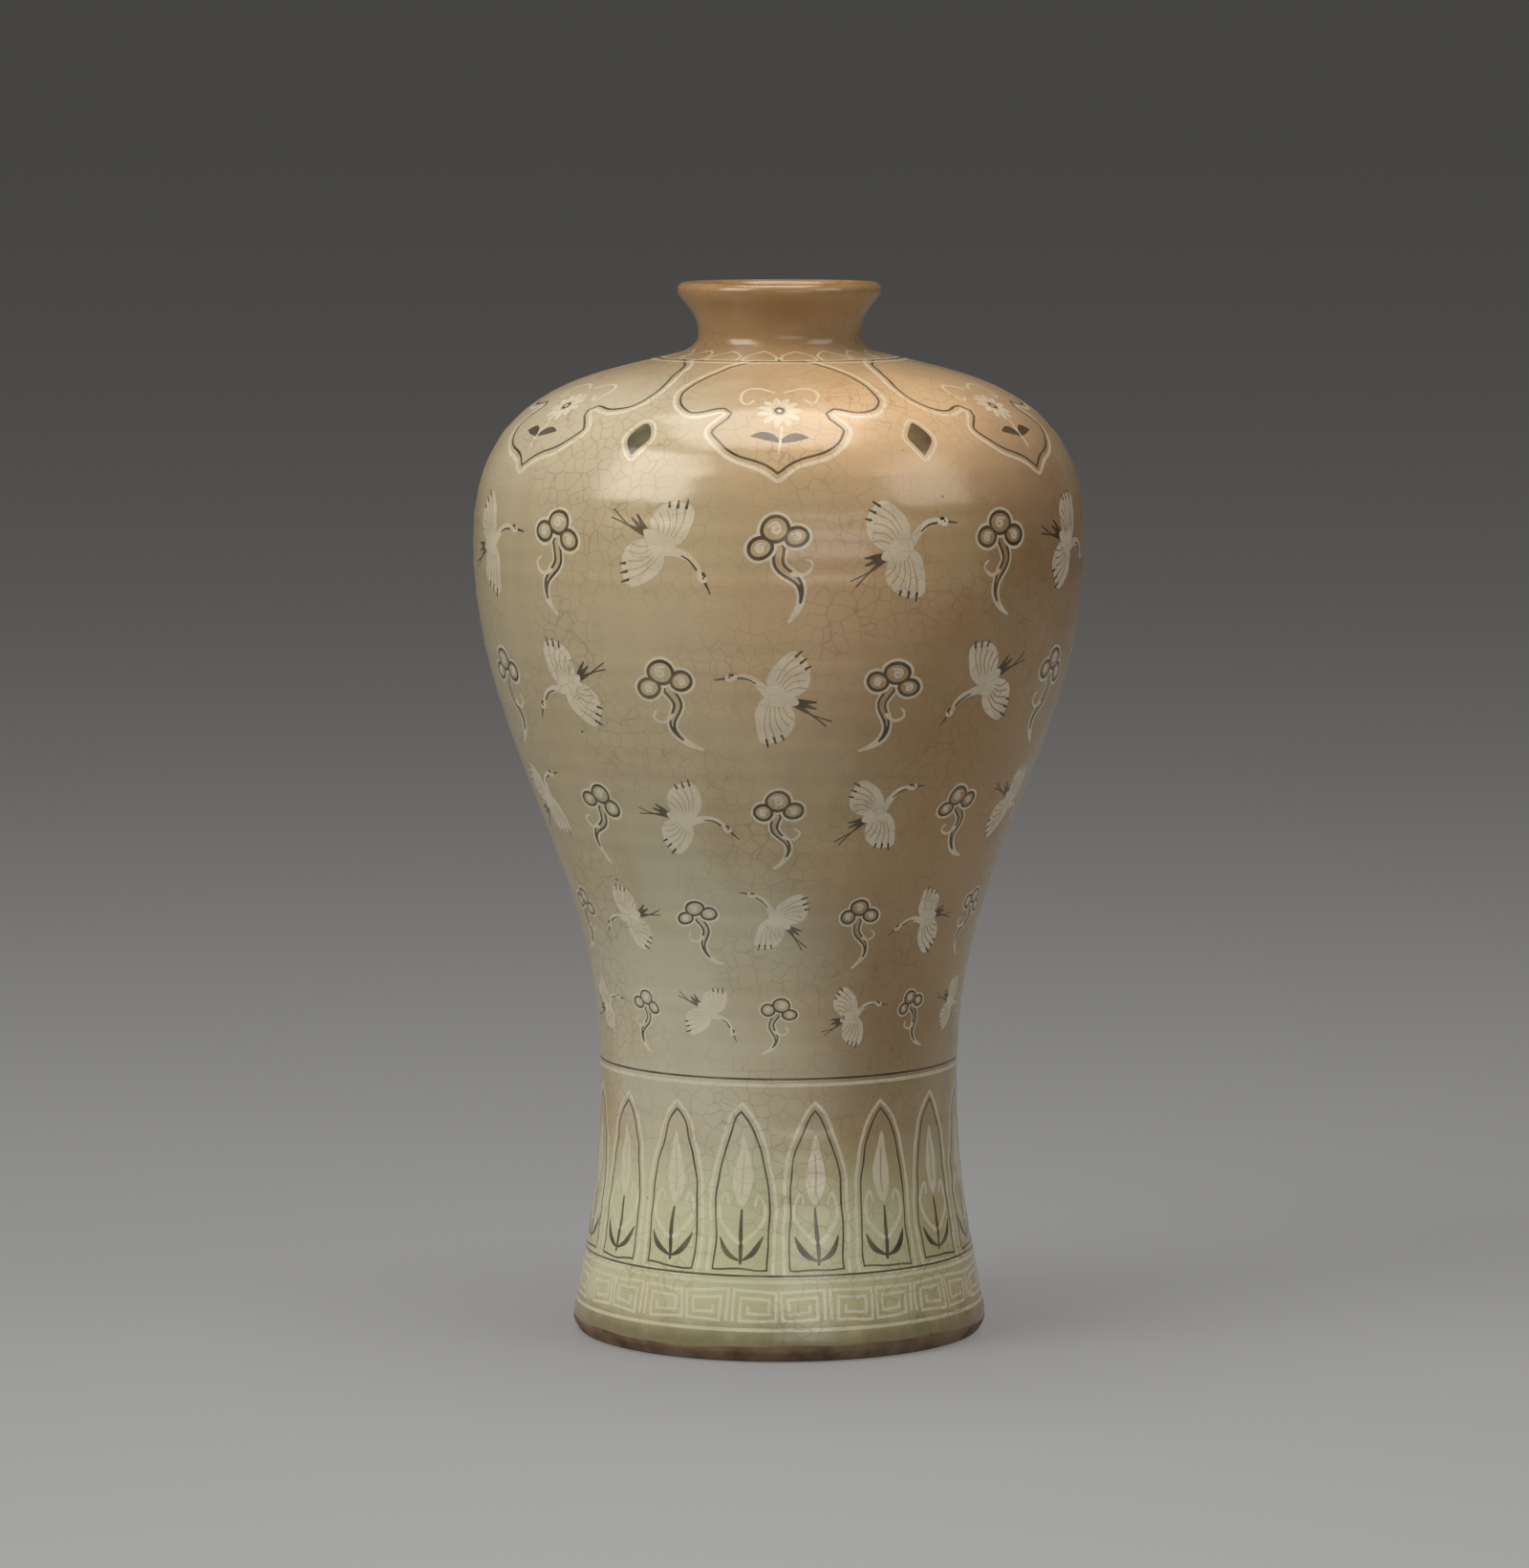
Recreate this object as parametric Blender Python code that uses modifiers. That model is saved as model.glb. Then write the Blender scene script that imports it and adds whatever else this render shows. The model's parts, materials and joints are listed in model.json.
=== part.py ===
"""Inlaid celadon vase: a wheel-thrown stoneware plum vase, hollow, with a small flared mouth, high
round shoulders, a drawn-in waist and a spreading foot. Metres, +Z up, origin at the middle of the
circle that the foot stands on. Run it with: blender --background --python part.py
"""

import math

import bpy

# Outer form, each height counted from the feature below it
FOOT_RADIUS = 0.0592        # widest part of the spreading foot, just above its edge
FOOT_EDGE_HEIGHT = 0.0030   # bevel from the standing ring up to the widest part
FOOT_EDGE_WIDTH = 0.0018    # how far that bevel cuts in
WAIST_RADIUS = 0.0512       # narrowest part of the body
WAIST_RISE = 0.0730         # from the foot's widest part up to the waist
SHOULDER_RADIUS = 0.0868    # widest part of the whole vase
SHOULDER_RISE = 0.1510      # from the waist up to the widest part
NECK_RADIUS = 0.0225        # narrowest part of the neck
NECK_ROOT_RISE = 0.0545     # from the widest part up to where the shoulder turns into the neck
LIP_RADIUS = 0.0290         # outermost edge of the flared mouth
LIP_RISE = 0.0185           # from the neck's root up to the top of the lip

# How full each curve is: the reach of its handles, as a share of that curve's own height or width
FOOT_FLARE_DEG = 8.0        # lean of the wall where it leaves the foot
FOOT_HOLD = 0.42
WAIST_HOLD_BELOW = 0.50
WAIST_HOLD_ABOVE = 0.40
SHOULDER_HOLD_BELOW = 0.38
SHOULDER_HOLD_ABOVE = 0.85
CROWN_SLOPE_DEG = 16.0      # slope of the shoulder where it meets the neck
CROWN_HOLD = 0.42
NECK_HOLD = 0.42
LIP_FLARE_DEG = 40.0        # lean of the mouth at its edge, off the vertical
LIP_HOLD = 0.35

# Walls
WALL = 0.0065               # thrown wall of the body
LIP_WALL = 0.0046           # wall of the neck, and the thickness of the rounded lip
FLOOR_THICKNESS = 0.0095    # clay under the hollow, above the recessed base
FLOOR_CORNER = 0.0140       # radius of the hollow's bottom corner
RING_WIDTH = 0.0085         # standing ring left round the recessed base
RECESS_DEPTH = 0.0045       # how far the base is hollowed under the foot
RECESS_SLOPE = 0.0020       # how far the recess draws in on its way up

# How finely the round is cut
TURN_STEPS = 52
FOOT_STEPS = 6
BODY_STEPS = 9
CROWN_STEPS = 9
NECK_STEPS = 5
LIP_STEPS = 4
CORNER_STEPS = 4
MERGE_DISTANCE = 0.00005

NAME = "vase"
COLLECTION = "inlaid_celadon_vase"


def curve_points(start, start_handle, end_handle, end, steps):
    """Points along one smooth curve of the outline, (radius, height) each, its start left out."""
    points = []
    for step in range(1, steps + 1):
        t = step / steps
        weights = ((1 - t) ** 3, 3 * (1 - t) ** 2 * t, 3 * (1 - t) * t**2, t**3)
        corners = (start, start_handle, end_handle, end)
        points.append(tuple(sum(w * c[axis] for w, c in zip(weights, corners)) for axis in (0, 1)))
    return points


def leaning(point, degrees, reach):
    """The point at that reach from a point, in a direction leaning out from the vertical."""
    angle = math.radians(degrees)
    return (point[0] + reach * math.sin(angle), point[1] + reach * math.cos(angle))


def stations():
    """The corners of the outer form, from the foot up."""
    foot = (FOOT_RADIUS, FOOT_EDGE_HEIGHT)
    waist = (WAIST_RADIUS, foot[1] + WAIST_RISE)
    shoulder = (SHOULDER_RADIUS, waist[1] + SHOULDER_RISE)
    neck = (NECK_RADIUS, shoulder[1] + NECK_ROOT_RISE)
    return foot, waist, shoulder, neck, lip_start(neck)


def lip_start(neck):
    """Where the outer curve ends, so that the round lip over it comes to the stated edge and top."""
    flare = math.radians(LIP_FLARE_DEG)
    round_radius = LIP_WALL / 2
    radius = LIP_RADIUS - round_radius * (1 - math.cos(flare))
    return (radius, neck[1] + LIP_RISE - round_radius * (1 + math.sin(flare)))


def outer_outline():
    """Outer surface from the foot's widest part up to the edge of the lip."""
    foot, waist, shoulder, neck, lip = stations()
    points = [foot]
    points += curve_points(
        foot,
        leaning(foot, -FOOT_FLARE_DEG, FOOT_HOLD * WAIST_RISE),
        (waist[0], waist[1] - WAIST_HOLD_BELOW * WAIST_RISE),
        waist,
        FOOT_STEPS,
    )
    points += curve_points(
        waist,
        (waist[0], waist[1] + WAIST_HOLD_ABOVE * SHOULDER_RISE),
        (shoulder[0], shoulder[1] - SHOULDER_HOLD_BELOW * SHOULDER_RISE),
        shoulder,
        BODY_STEPS,
    )
    crown_width = SHOULDER_RADIUS - NECK_RADIUS
    points += curve_points(
        shoulder,
        (shoulder[0], shoulder[1] + SHOULDER_HOLD_ABOVE * NECK_ROOT_RISE),
        leaning(neck, 90 + CROWN_SLOPE_DEG, CROWN_HOLD * crown_width),
        neck,
        CROWN_STEPS,
    )
    points += curve_points(
        neck,
        leaning(neck, 0, NECK_HOLD * LIP_RISE),
        leaning(lip, LIP_FLARE_DEG - 180, LIP_HOLD * LIP_RISE),
        lip,
        NECK_STEPS,
    )
    return points


def across(points, index):
    """Unit vector out of the outline at one of its points, square to the curve."""
    before = points[max(index - 1, 0)]
    after = points[min(index + 1, len(points) - 1)]
    along = (after[0] - before[0], after[1] - before[1])
    length = math.hypot(*along)
    return (along[1] / length, -along[0] / length)


def wall_at(height):
    """Thickness of the wall at a height: even up to the shoulder, thinner by the neck."""
    _, _, shoulder, neck, _ = stations()
    share = (height - shoulder[1]) / (neck[1] - shoulder[1])
    share = min(max(share, 0.0), 1.0)
    return WALL + (LIP_WALL - WALL) * share


def inner_outline(outer):
    """The hollow's wall, one wall in from the outer surface, from just above its floor up to the lip."""
    lowest = RECESS_DEPTH + FLOOR_THICKNESS + FLOOR_CORNER
    points = []
    for index, (radius, height) in enumerate(outer):
        out = across(outer, index)
        wall = wall_at(height)
        point = (radius - out[0] * wall, height - out[1] * wall)
        if point[1] > lowest:
            points.append(point)
    return points


def floor_outline(wall_foot):
    """The hollow's floor, from the axis out and round its bottom corner, up to the wall's lowest point."""
    floor = RECESS_DEPTH + FLOOR_THICKNESS
    middle = (wall_foot[0] - FLOOR_CORNER, floor + FLOOR_CORNER)
    points = [(0.0, floor)]
    for step in range(CORNER_STEPS + 1):
        angle = -math.pi / 2 + math.pi / 2 * step / CORNER_STEPS
        points.append(
            (middle[0] + FLOOR_CORNER * math.cos(angle), middle[1] + FLOOR_CORNER * math.sin(angle))
        )
    return points


def lip_outline(inner_edge, outer_edge):
    """The lip's round top, from the hollow's side over to the outer side, both ends left out."""
    middle = ((inner_edge[0] + outer_edge[0]) / 2, (inner_edge[1] + outer_edge[1]) / 2)
    half = math.dist(inner_edge, outer_edge) / 2
    start = math.atan2(inner_edge[1] - middle[1], inner_edge[0] - middle[0])
    points = []
    for step in range(1, LIP_STEPS):
        angle = start - math.pi * step / LIP_STEPS
        points.append((middle[0] + half * math.cos(angle), middle[1] + half * math.sin(angle)))
    return points


def foot_outline():
    """The underside, from the standing ring's outer edge in to the axis of the recessed base."""
    ring_outer = FOOT_RADIUS - FOOT_EDGE_WIDTH
    ring_inner = ring_outer - RING_WIDTH
    return [
        (ring_outer, 0.0),
        (ring_inner, 0.0),
        (ring_inner - RECESS_SLOPE, RECESS_DEPTH),
        (0.0, RECESS_DEPTH),
    ]


def section():
    """The whole cut section: out over the floor, up the hollow, over the lip and down the outside."""
    outer = outer_outline()
    inner = inner_outline(outer)
    return (
        floor_outline(inner[0])
        + inner
        + lip_outline(inner[-1], outer[-1])
        + outer[::-1]
        + foot_outline()
    )


def glaze():
    """Celadon glaze, fired partly to a khaki brown."""
    material = bpy.data.materials.new("celadon_glaze")
    material.use_nodes = True
    shader = material.node_tree.nodes["Principled BSDF"]
    shader.inputs["Base Color"].default_value = (0.33, 0.29, 0.19, 1.0)
    shader.inputs["Roughness"].default_value = 0.22
    shader.inputs["Metallic"].default_value = 0.0
    return material


def turned(name, points, collection):
    """A closed solid turned from a section that starts and ends on the axis."""
    mesh = bpy.data.meshes.new(name)
    edges = [(i, i + 1) for i in range(len(points) - 1)]
    mesh.from_pydata([(radius, 0.0, height) for radius, height in points], edges, [])
    body = bpy.data.objects.new(name, mesh)
    collection.objects.link(body)
    screw = body.modifiers.new("Turn", "SCREW")
    screw.axis = "Z"
    screw.steps = TURN_STEPS
    screw.render_steps = TURN_STEPS
    screw.use_merge_vertices = True
    screw.merge_threshold = MERGE_DISTANCE
    screw.use_smooth_shade = True
    return body


def main():
    for old in list(bpy.data.objects):
        bpy.data.objects.remove(old, do_unlink=True)
    collection = bpy.data.collections.new(COLLECTION)
    bpy.context.scene.collection.children.link(collection)
    vase = turned(NAME, section(), collection)
    vase.data.materials.append(glaze())


main()
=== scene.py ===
"""Inlaid celadon plum vase standing on a pale floor in soft studio light.

The fine vase is one closed mesh. Its section is read from the CAD solid and smoothed, and its outside is
cut along the edge of every inlaid line, so that the white and black slip lie flush in the clay with crisp
edges. Everything is in metres, with +Z up, in the CAD model's own frame. The photo looks along +Y.
"""

import json
import logging
import math
from dataclasses import dataclass, field
from enum import Enum
from functools import partial
from typing import Any, Callable, Iterable, Sequence

import bpy
import numpy as np
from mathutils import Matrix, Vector, geometry, kdtree

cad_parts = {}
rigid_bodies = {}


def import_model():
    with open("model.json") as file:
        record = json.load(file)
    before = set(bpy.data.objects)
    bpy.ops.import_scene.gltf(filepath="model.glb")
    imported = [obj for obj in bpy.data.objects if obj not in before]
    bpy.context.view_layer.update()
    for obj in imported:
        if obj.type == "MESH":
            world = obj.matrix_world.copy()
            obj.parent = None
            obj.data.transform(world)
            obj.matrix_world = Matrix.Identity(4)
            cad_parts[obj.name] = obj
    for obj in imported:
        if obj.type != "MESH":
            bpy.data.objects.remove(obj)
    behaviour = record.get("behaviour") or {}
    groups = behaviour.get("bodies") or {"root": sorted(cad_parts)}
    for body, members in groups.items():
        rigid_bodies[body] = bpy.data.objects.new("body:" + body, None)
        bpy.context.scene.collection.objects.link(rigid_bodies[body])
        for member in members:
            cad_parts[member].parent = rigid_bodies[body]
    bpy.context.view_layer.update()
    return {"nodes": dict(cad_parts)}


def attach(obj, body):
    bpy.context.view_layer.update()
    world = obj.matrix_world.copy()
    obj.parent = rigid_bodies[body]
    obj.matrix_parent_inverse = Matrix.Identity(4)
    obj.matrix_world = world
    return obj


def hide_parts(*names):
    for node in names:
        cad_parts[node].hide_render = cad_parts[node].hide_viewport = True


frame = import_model()

NODE = "vase"
BODY = "root"
MM = 0.001
FULL_TURN = 2 * math.pi
# A point nearer the axis than this counts as on it.
AXIS = 0.001 * MM
# Keeps a division by a length from failing.
TINY = 1e-12

log = logging.getLogger("celadon_vase")


def linear(hex_colour: str) -> tuple[float, float, float, float]:
    """Turns an sRGB hex colour into the linear colour that the shaders take.

    Args:
        hex_colour: Six hex digits, with or without a leading #.

    Returns:
        Linear red, green and blue, and an alpha of 1.
    """
    digits = hex_colour.lstrip("#")
    channels = [int(digits[i:i + 2], 16) / 255 for i in (0, 2, 4)]
    red, green, blue = [c / 12.92 if c <= 0.04045 else ((c + 0.055) / 1.055) ** 2.4 for c in channels]
    return (red, green, blue, 1.0)


def placed(name: str, data: bpy.types.ID) -> bpy.types.Object:
    """Makes an object of a mesh, a light or a camera.

    Args:
        name: The object's name.
        data: What it shows.

    Returns:
        The new object, linked to the scene.
    """
    made = bpy.data.objects.new(name, data)
    bpy.context.scene.collection.objects.link(made)
    return made


AddNode = Callable[..., Any]
COLOURS = {"data_type": "RGBA"}
MULTIPLY_ADD = {"operation": "MULTIPLY_ADD"}
# Noise seldom leaves this range, so the full swing of what it drives is spread over it.
NOISE_RANGE = {"from_min": 0.3, "from_max": 0.7}


def pattern_scale(mm: float) -> float:
    """Scale at which a pattern repeats about every so many millimetres."""
    return 1 / (mm * MM)


def add_node(material: Any, kind: str, settings: dict[str, Any] | None = None, **inputs: Any) -> Any:
    """Adds one shader node, with its settings, its values and its links.

    Args:
        material: The material, or other owner of a node tree.
        kind: The node's type name, without the ShaderNode that each starts with.
        settings: Properties of the node itself.
        **inputs: Values, nodes or their outputs by socket name, in lower case with _ for a space. A name
            that is _ and a number picks the socket by its number instead. A node gives its first output.

    Returns:
        The new node.
    """
    tree = material.node_tree
    node = tree.nodes.new(f"ShaderNode{kind}")
    for key, value in (settings or {}).items():
        setattr(node, key, value)
    for key, value in inputs.items():
        if key.startswith("_"):
            socket = node.inputs[int(key[1:])]
        else:
            wanted = key.replace("_", " ")
            socket = next(s for s in node.inputs if s.name.lower() == wanted and s.enabled)
        if isinstance(value, bpy.types.Node):
            value = next(output for output in value.outputs if output.enabled)
        if isinstance(value, bpy.types.NodeSocket):
            tree.links.new(value, socket)
        else:
            socket.default_value = value
    return node


def blank_material(name: str) -> tuple[bpy.types.Material, AddNode, Any]:
    """Makes a material without nodes.

    Args:
        name: The material's name.

    Returns:
        The material, add_node for it, and the place of each point in the piece's own frame.
    """
    material = bpy.data.materials.new(name)
    material.use_nodes = True
    material.node_tree.nodes.clear()
    add = partial(add_node, material)
    return material, add, add("TexCoord").outputs["Object"]


def overlaid(add: AddNode, under: Any, over: str, amount: Any, start: float, full: float,
             strength: float = 1.0, smooth: bool = False) -> Any:
    """Lays one colour over another wherever an amount goes from one value to another.

    Args:
        add: add_node for the material.
        under: The colour below.
        over: The hex colour laid over it.
        amount: What decides where it lies.
        start: The amount at which it starts to show.
        full: The amount at which it shows fully.
        strength: How much of it shows there.
        smooth: Whether it fades in and out softly.

    Returns:
        The mixed colour.
    """
    fade = {"interpolation_type": "SMOOTHSTEP" if smooth else "LINEAR"}
    share = add("MapRange", fade, value=amount, from_min=start, from_max=full, to_max=strength)
    return add("Mix", COLOURS, factor=share, a=under, b=linear(over))


# Section of the vase

@dataclass(frozen=True)
class Fillets:
    """How softly the thrower's fingers left each corner of the section, as the reach of its rounding."""

    neck: float = 5.0 * MM
    foot: float = 0.9 * MM
    sharp_turn_deg: float = 34.0
    lip_zone: float = 7.0 * MM


class Section:
    """Smooth half section, walked from the hollow's floor, over the lip and down to the base's middle.

    Attributes:
        walk: Distance along the section at each point.
        radius: Distance from the axis at each point.
        height: Height at each point.
        over_lip: Distance walked to the top of the lip.
        foot: Distance walked to the foot's widest part, where the inlaid outside ends.
        brim: Distance walked to just outside the lip, where the inlaid outside starts.
    """

    STEP = 0.3 * MM
    BRIM_DROP = 4.5 * MM
    FLAT = 0.01 * MM
    OFF_AXIS = 0.1 * MM
    FOOT_ZONE = 20 * MM
    NECK_ZONE = 200 * MM

    def __init__(self, node: bpy.types.Object, fillets: Fillets = Fillets()) -> None:
        """Reads the CAD solid's section and smooths it.

        Args:
            node: The CAD solid's object.
            fillets: How far each corner is rounded.
        """
        corners, sharp = self._read(node, fillets)
        points = self._smoothed(corners, sharp, fillets)
        lengths = np.hypot(*np.diff(points, axis=0).T)
        self.walk = np.concatenate([[0.0], np.cumsum(lengths)])
        self.radius, self.height = points[:, 0], points[:, 1]
        self.over_lip = float(self.walk[np.argmax(self.height)])
        foot_corner = next(corners[i] for i in sharp if corners[i][1] < self.FOOT_ZONE)
        self.foot = self.outside(float(foot_corner[1]) + 0.4 * fillets.foot)
        self.brim = self.outside(float(self.height.max()) - self.BRIM_DROP)

    @staticmethod
    def _read(node: bpy.types.Object, fillets: Fillets) -> tuple[np.ndarray, list[int]]:
        """Finds the corners of the CAD solid's section at +X, in walking order.

        Args:
            node: The CAD solid's object.
            fillets: Says how sharp a turn is kept as a corner, and how deep the lip's round is.

        Returns:
            The section's corners as radius and height, and the indices of the sharp ones.
        """
        mesh = node.data
        facing: dict[tuple[float, float], np.ndarray] = {}
        for polygon in mesh.polygons:
            for index in polygon.vertices:
                x, y, z = mesh.vertices[index].co
                if abs(y) < Section.FLAT and x > Section.OFF_AXIS:
                    key = (round(x, 5), round(z, 5))
                    facing.setdefault(key, np.zeros(3))
                    facing[key] += np.array(polygon.normal) * polygon.area
        floor = min(z for (_, z), n in facing.items() if n[2] > 0 and n[0] <= 0)
        outer = sorted((p for p, n in facing.items() if n[0] > 0), key=lambda p: -p[1])
        hollow = sorted((p for p, n in facing.items() if n[0] <= 0 and p[1] >= floor), key=lambda p: p[1])
        base = sorted((p for p, n in facing.items() if n[0] <= 0 and p[1] < floor), reverse=True)
        walk = [(0.0, hollow[0][1]), *hollow, *outer, *base, (0.0, base[-1][1])]
        corners = np.array(walk)
        along = np.diff(corners, axis=0)
        heading = np.unwrap(np.arctan2(along[:, 1], along[:, 0]))
        turning = np.degrees(np.abs(np.diff(heading)))
        top = corners[:, 1].max()
        sharp = [
            i + 1
            for i, turn in enumerate(turning)
            if turn > fillets.sharp_turn_deg and corners[i + 1][1] < top - fillets.lip_zone
        ]
        return corners, sharp

    def _smoothed(self, corners: np.ndarray, sharp: list[int], fillets: Fillets) -> np.ndarray:
        """Runs a smooth curve through the corners, with a small rounding at each sharp one.

        Args:
            corners: The section's corners in walking order.
            sharp: Indices of the corners that the curve turns at.
            fillets: How far each of those is rounded.

        Returns:
            Closely spaced points along the section.
        """
        ends = [0, *sharp, len(corners) - 1]
        stretches = [spline_through(corners[a:b + 1], self.STEP) for a, b in zip(ends, ends[1:])]
        points = [stretches[0]]
        for before, after in zip(stretches, stretches[1:]):
            reach = fillets.neck if before[-1][1] > self.NECK_ZONE else fillets.foot
            count = int(reach / self.STEP)
            start, corner, end = points[-1][-count], before[-1], after[count]
            share = np.linspace(0, 1, 2 * count)[1:-1, None]
            round_part = (1 - share) ** 2 * start + 2 * share * (1 - share) * corner + share**2 * end
            points[-1] = points[-1][:-count + 1]
            points += [round_part, after[count:]]
        return np.concatenate(points)

    def outside(self, height: float) -> float:
        """Distance walked to the outer surface at a height."""
        ground = int(np.argmax((self.walk > self.over_lip) & (self.height < self.FLAT)))
        outer = slice(int(np.argmax(self.height)), ground)
        return float(np.interp(-height, -self.height[outer], self.walk[outer]))

    def at(self, walk: np.ndarray) -> tuple[np.ndarray, np.ndarray]:
        """Radius and height at distances along the section."""
        return np.interp(walk, self.walk, self.radius), np.interp(walk, self.walk, self.height)

    @property
    def rise(self) -> float:
        """Length of the inlaid outside, from the foot up to the brim."""
        return self.foot - self.brim

    def girth(self, rise: np.ndarray | float) -> np.ndarray:
        """Radius of the outside at distances up it from the foot."""
        return self.at(self.foot - np.asarray(rise, float))[0]

    def rise_at(self, height: float) -> float:
        """Distance up the outside, from the foot, to a height."""
        return self.foot - self.outside(height)


def spline_through(knots: np.ndarray, step: float) -> np.ndarray:
    """Natural cubic spline through points in a plane.

    Args:
        knots: The points that the curve passes.
        step: Spacing of the points that come back.

    Returns:
        Points along the curve, both ends included.
    """
    chord = np.concatenate([[0.0], np.cumsum(np.hypot(*np.diff(knots, axis=0).T))])
    count = len(knots)
    gaps = np.diff(chord)
    system = np.eye(count)
    right = np.zeros((count, 2))
    for i in range(1, count - 1):
        system[i, i - 1:i + 2] = gaps[i - 1], 2 * (gaps[i - 1] + gaps[i]), gaps[i]
        rising = (knots[i + 1] - knots[i]) / gaps[i] - (knots[i] - knots[i - 1]) / gaps[i - 1]
        right[i] = 6 * rising
    bend = np.linalg.solve(system, right)
    at = np.linspace(0, chord[-1], max(int(chord[-1] / step), 2) + 1)
    cell = np.clip(np.searchsorted(chord, at, side="right") - 1, 0, count - 2)
    ahead = ((chord[cell + 1] - at) / gaps[cell])[:, None]
    behind = 1 - ahead
    size = (gaps[cell] ** 2 / 6)[:, None]
    return (
        ahead * knots[cell]
        + behind * knots[cell + 1]
        + size * ((ahead**3 - ahead) * bend[cell] + (behind**3 - behind) * bend[cell + 1])
    )


Waves = tuple[tuple[float, float, float, float], ...]


def waving(waves: Waves, turn: np.ndarray, up: np.ndarray | float = 0.0, middle: float = 0.0) -> np.ndarray:
    """Adds up waves that run round and up the vase.

    Args:
        waves: For each one, how many go round the vase, how steep they are up it, where they start, and
            their size.
        turn: Angles round the axis.
        up: Distances up the vase.
        middle: The value that they swing about.

    Returns:
        The sum at each place.
    """
    swings = (size * np.sin(around * turn + steep * up + start) for around, steep, start, size in waves)
    return sum(swings, middle)


@dataclass(frozen=True)
class Throwing:
    """The small unevenness of a body thrown on a wheel and dried.

    Attributes:
        oval: How far the body is out of round.
        three_sided: How far it is three-sided.
        ring: How far a throwing ring stands out.
        ring_spacing: Distance from one ring to the next.
        ring_wander: How far a ring wanders up and down its own wave in a turn.
        second_ring: Size of a second set of rings, as a share of the first.
        second_pace: How closely those lie, as a share of the first.
        second_start: Where they start.
        hollow_ring: How far a ring stands out in the hollow.
        glaze_roll: How far the roll of glaze above the foot stands out.
        glaze_roll_height: The roll's height.
        glaze_roll_width: The roll's width.
        drips: Waves of the roll's thickness, as a share.
        even_below: Height from which the wall is fully uneven.
        even_above: Distance under the top from which it is.
        top: Height of the top.
        even_middle: Distance from the axis from which it is.
    """

    oval: float = 0.28 * MM
    three_sided: float = 0.14 * MM
    ring: float = 0.07 * MM
    ring_spacing: float = 7.5 * MM
    ring_wander: float = 0.35
    second_ring: float = 0.6
    second_pace: float = 0.618
    second_start: float = 1.3
    hollow_ring: float = 0.30 * MM
    glaze_roll: float = 0.30 * MM
    glaze_roll_height: float = 6.5 * MM
    glaze_roll_width: float = 2.4 * MM
    drips: Waves = ((5, 0, 0.7, 0.35), (11, 0, 2.1, 0.25))
    even_below: float = 30 * MM
    even_above: float = 20 * MM
    top: float = 300 * MM
    even_middle: float = 20 * MM


class Surface:
    """Places points of the section round the axis, with the wheel's small unevenness."""

    NORMAL_REACH = 0.25 * MM

    def __init__(self, section: Section, throwing: Throwing = Throwing()) -> None:
        """Keeps the section and how uneven the wall is."""
        self.section = section
        self.throwing = throwing

    def place(self, turn: np.ndarray, walk: np.ndarray) -> np.ndarray:
        """Points in space.

        Args:
            turn: Angles round the axis in radians, 0 at the front and rising to the right.
            walk: Distances along the section, one for each angle.

        Returns:
            One point a row.
        """
        radius, height = self.section.at(walk)
        uneven = self._uneven(turn, walk, height) * np.minimum(radius / self.throwing.even_middle, 1.0)
        radius = np.where(radius > AXIS, radius + uneven, 0.0)
        return np.stack([radius * np.sin(turn), -radius * np.cos(turn), height], axis=1)

    def _uneven(self, turn: np.ndarray, walk: np.ndarray, height: np.ndarray) -> np.ndarray:
        """How far the wall stands out at each point, in metres."""
        t = self.throwing
        body = np.clip(height / t.even_below, 0, 1) * np.clip((t.top - height) / t.even_above, 0, 1)
        slow = t.oval * np.cos(2 * turn + 9 * height + 0.6) + t.three_sided * np.cos(3 * turn - 14 * height)
        phase = FULL_TURN * height / t.ring_spacing
        swell = np.sin(phase + t.ring_wander * np.sin(turn))
        swell += t.second_ring * np.sin(t.second_pace * phase + turn + t.second_start)
        inside = walk < self.section.over_lip
        rings = np.where(inside, t.hollow_ring, t.ring) * swell * body
        roll = np.exp(-(((height - t.glaze_roll_height) / t.glaze_roll_width) ** 2))
        drips = waving(t.drips, turn, middle=1.0)
        return body * slow + rings + np.where(inside, 0, t.glaze_roll * roll * drips)

    def normals(self, turn: np.ndarray, walk: np.ndarray) -> np.ndarray:
        """Unit vectors square to the surface, pointing out of the clay."""
        reach = self.NORMAL_REACH
        end = self.section.walk[-1]
        radius, _ = self.section.at(walk)
        swing = reach / np.maximum(radius, reach)
        onward, back = np.clip(walk + reach, 0, end), np.clip(walk - reach, 0, end)
        along = self.place(turn, onward) - self.place(turn, back)
        round_ = self.place(turn + swing, walk) - self.place(turn - swing, walk)
        normal = np.cross(along, round_)
        on_axis = radius < 10 * AXIS
        normal[on_axis] = 0.0
        normal[on_axis, 2] = np.where(walk[on_axis] < self.section.over_lip, 1.0, -1.0)
        return normal / np.linalg.norm(normal, axis=1, keepdims=True)


# Drawing of the inlay

class Slip(Enum):
    """What shows at a place: the clay under glaze, white or black slip under glaze, or unglazed clay."""

    CLAY = 0
    WHITE = 1
    BLACK = 2
    UNGLAZED = 3


Points = Sequence[tuple[float, float]]


def oval(x: float, y: float, half_width: float, half_height: float, lean: float = 0.0,
         step: float = 1.05, fewest: int = 9) -> np.ndarray:
    """Outline of an oval in millimetres, leaning by an angle in degrees."""
    count = max(fewest, int(FULL_TURN * max(half_width, half_height) / step))
    angle = np.linspace(0, FULL_TURN, count, endpoint=False)
    outline = np.stack([half_width * np.cos(angle), half_height * np.sin(angle)], axis=1)
    return turned(outline, lean) + (x, y)


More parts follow.
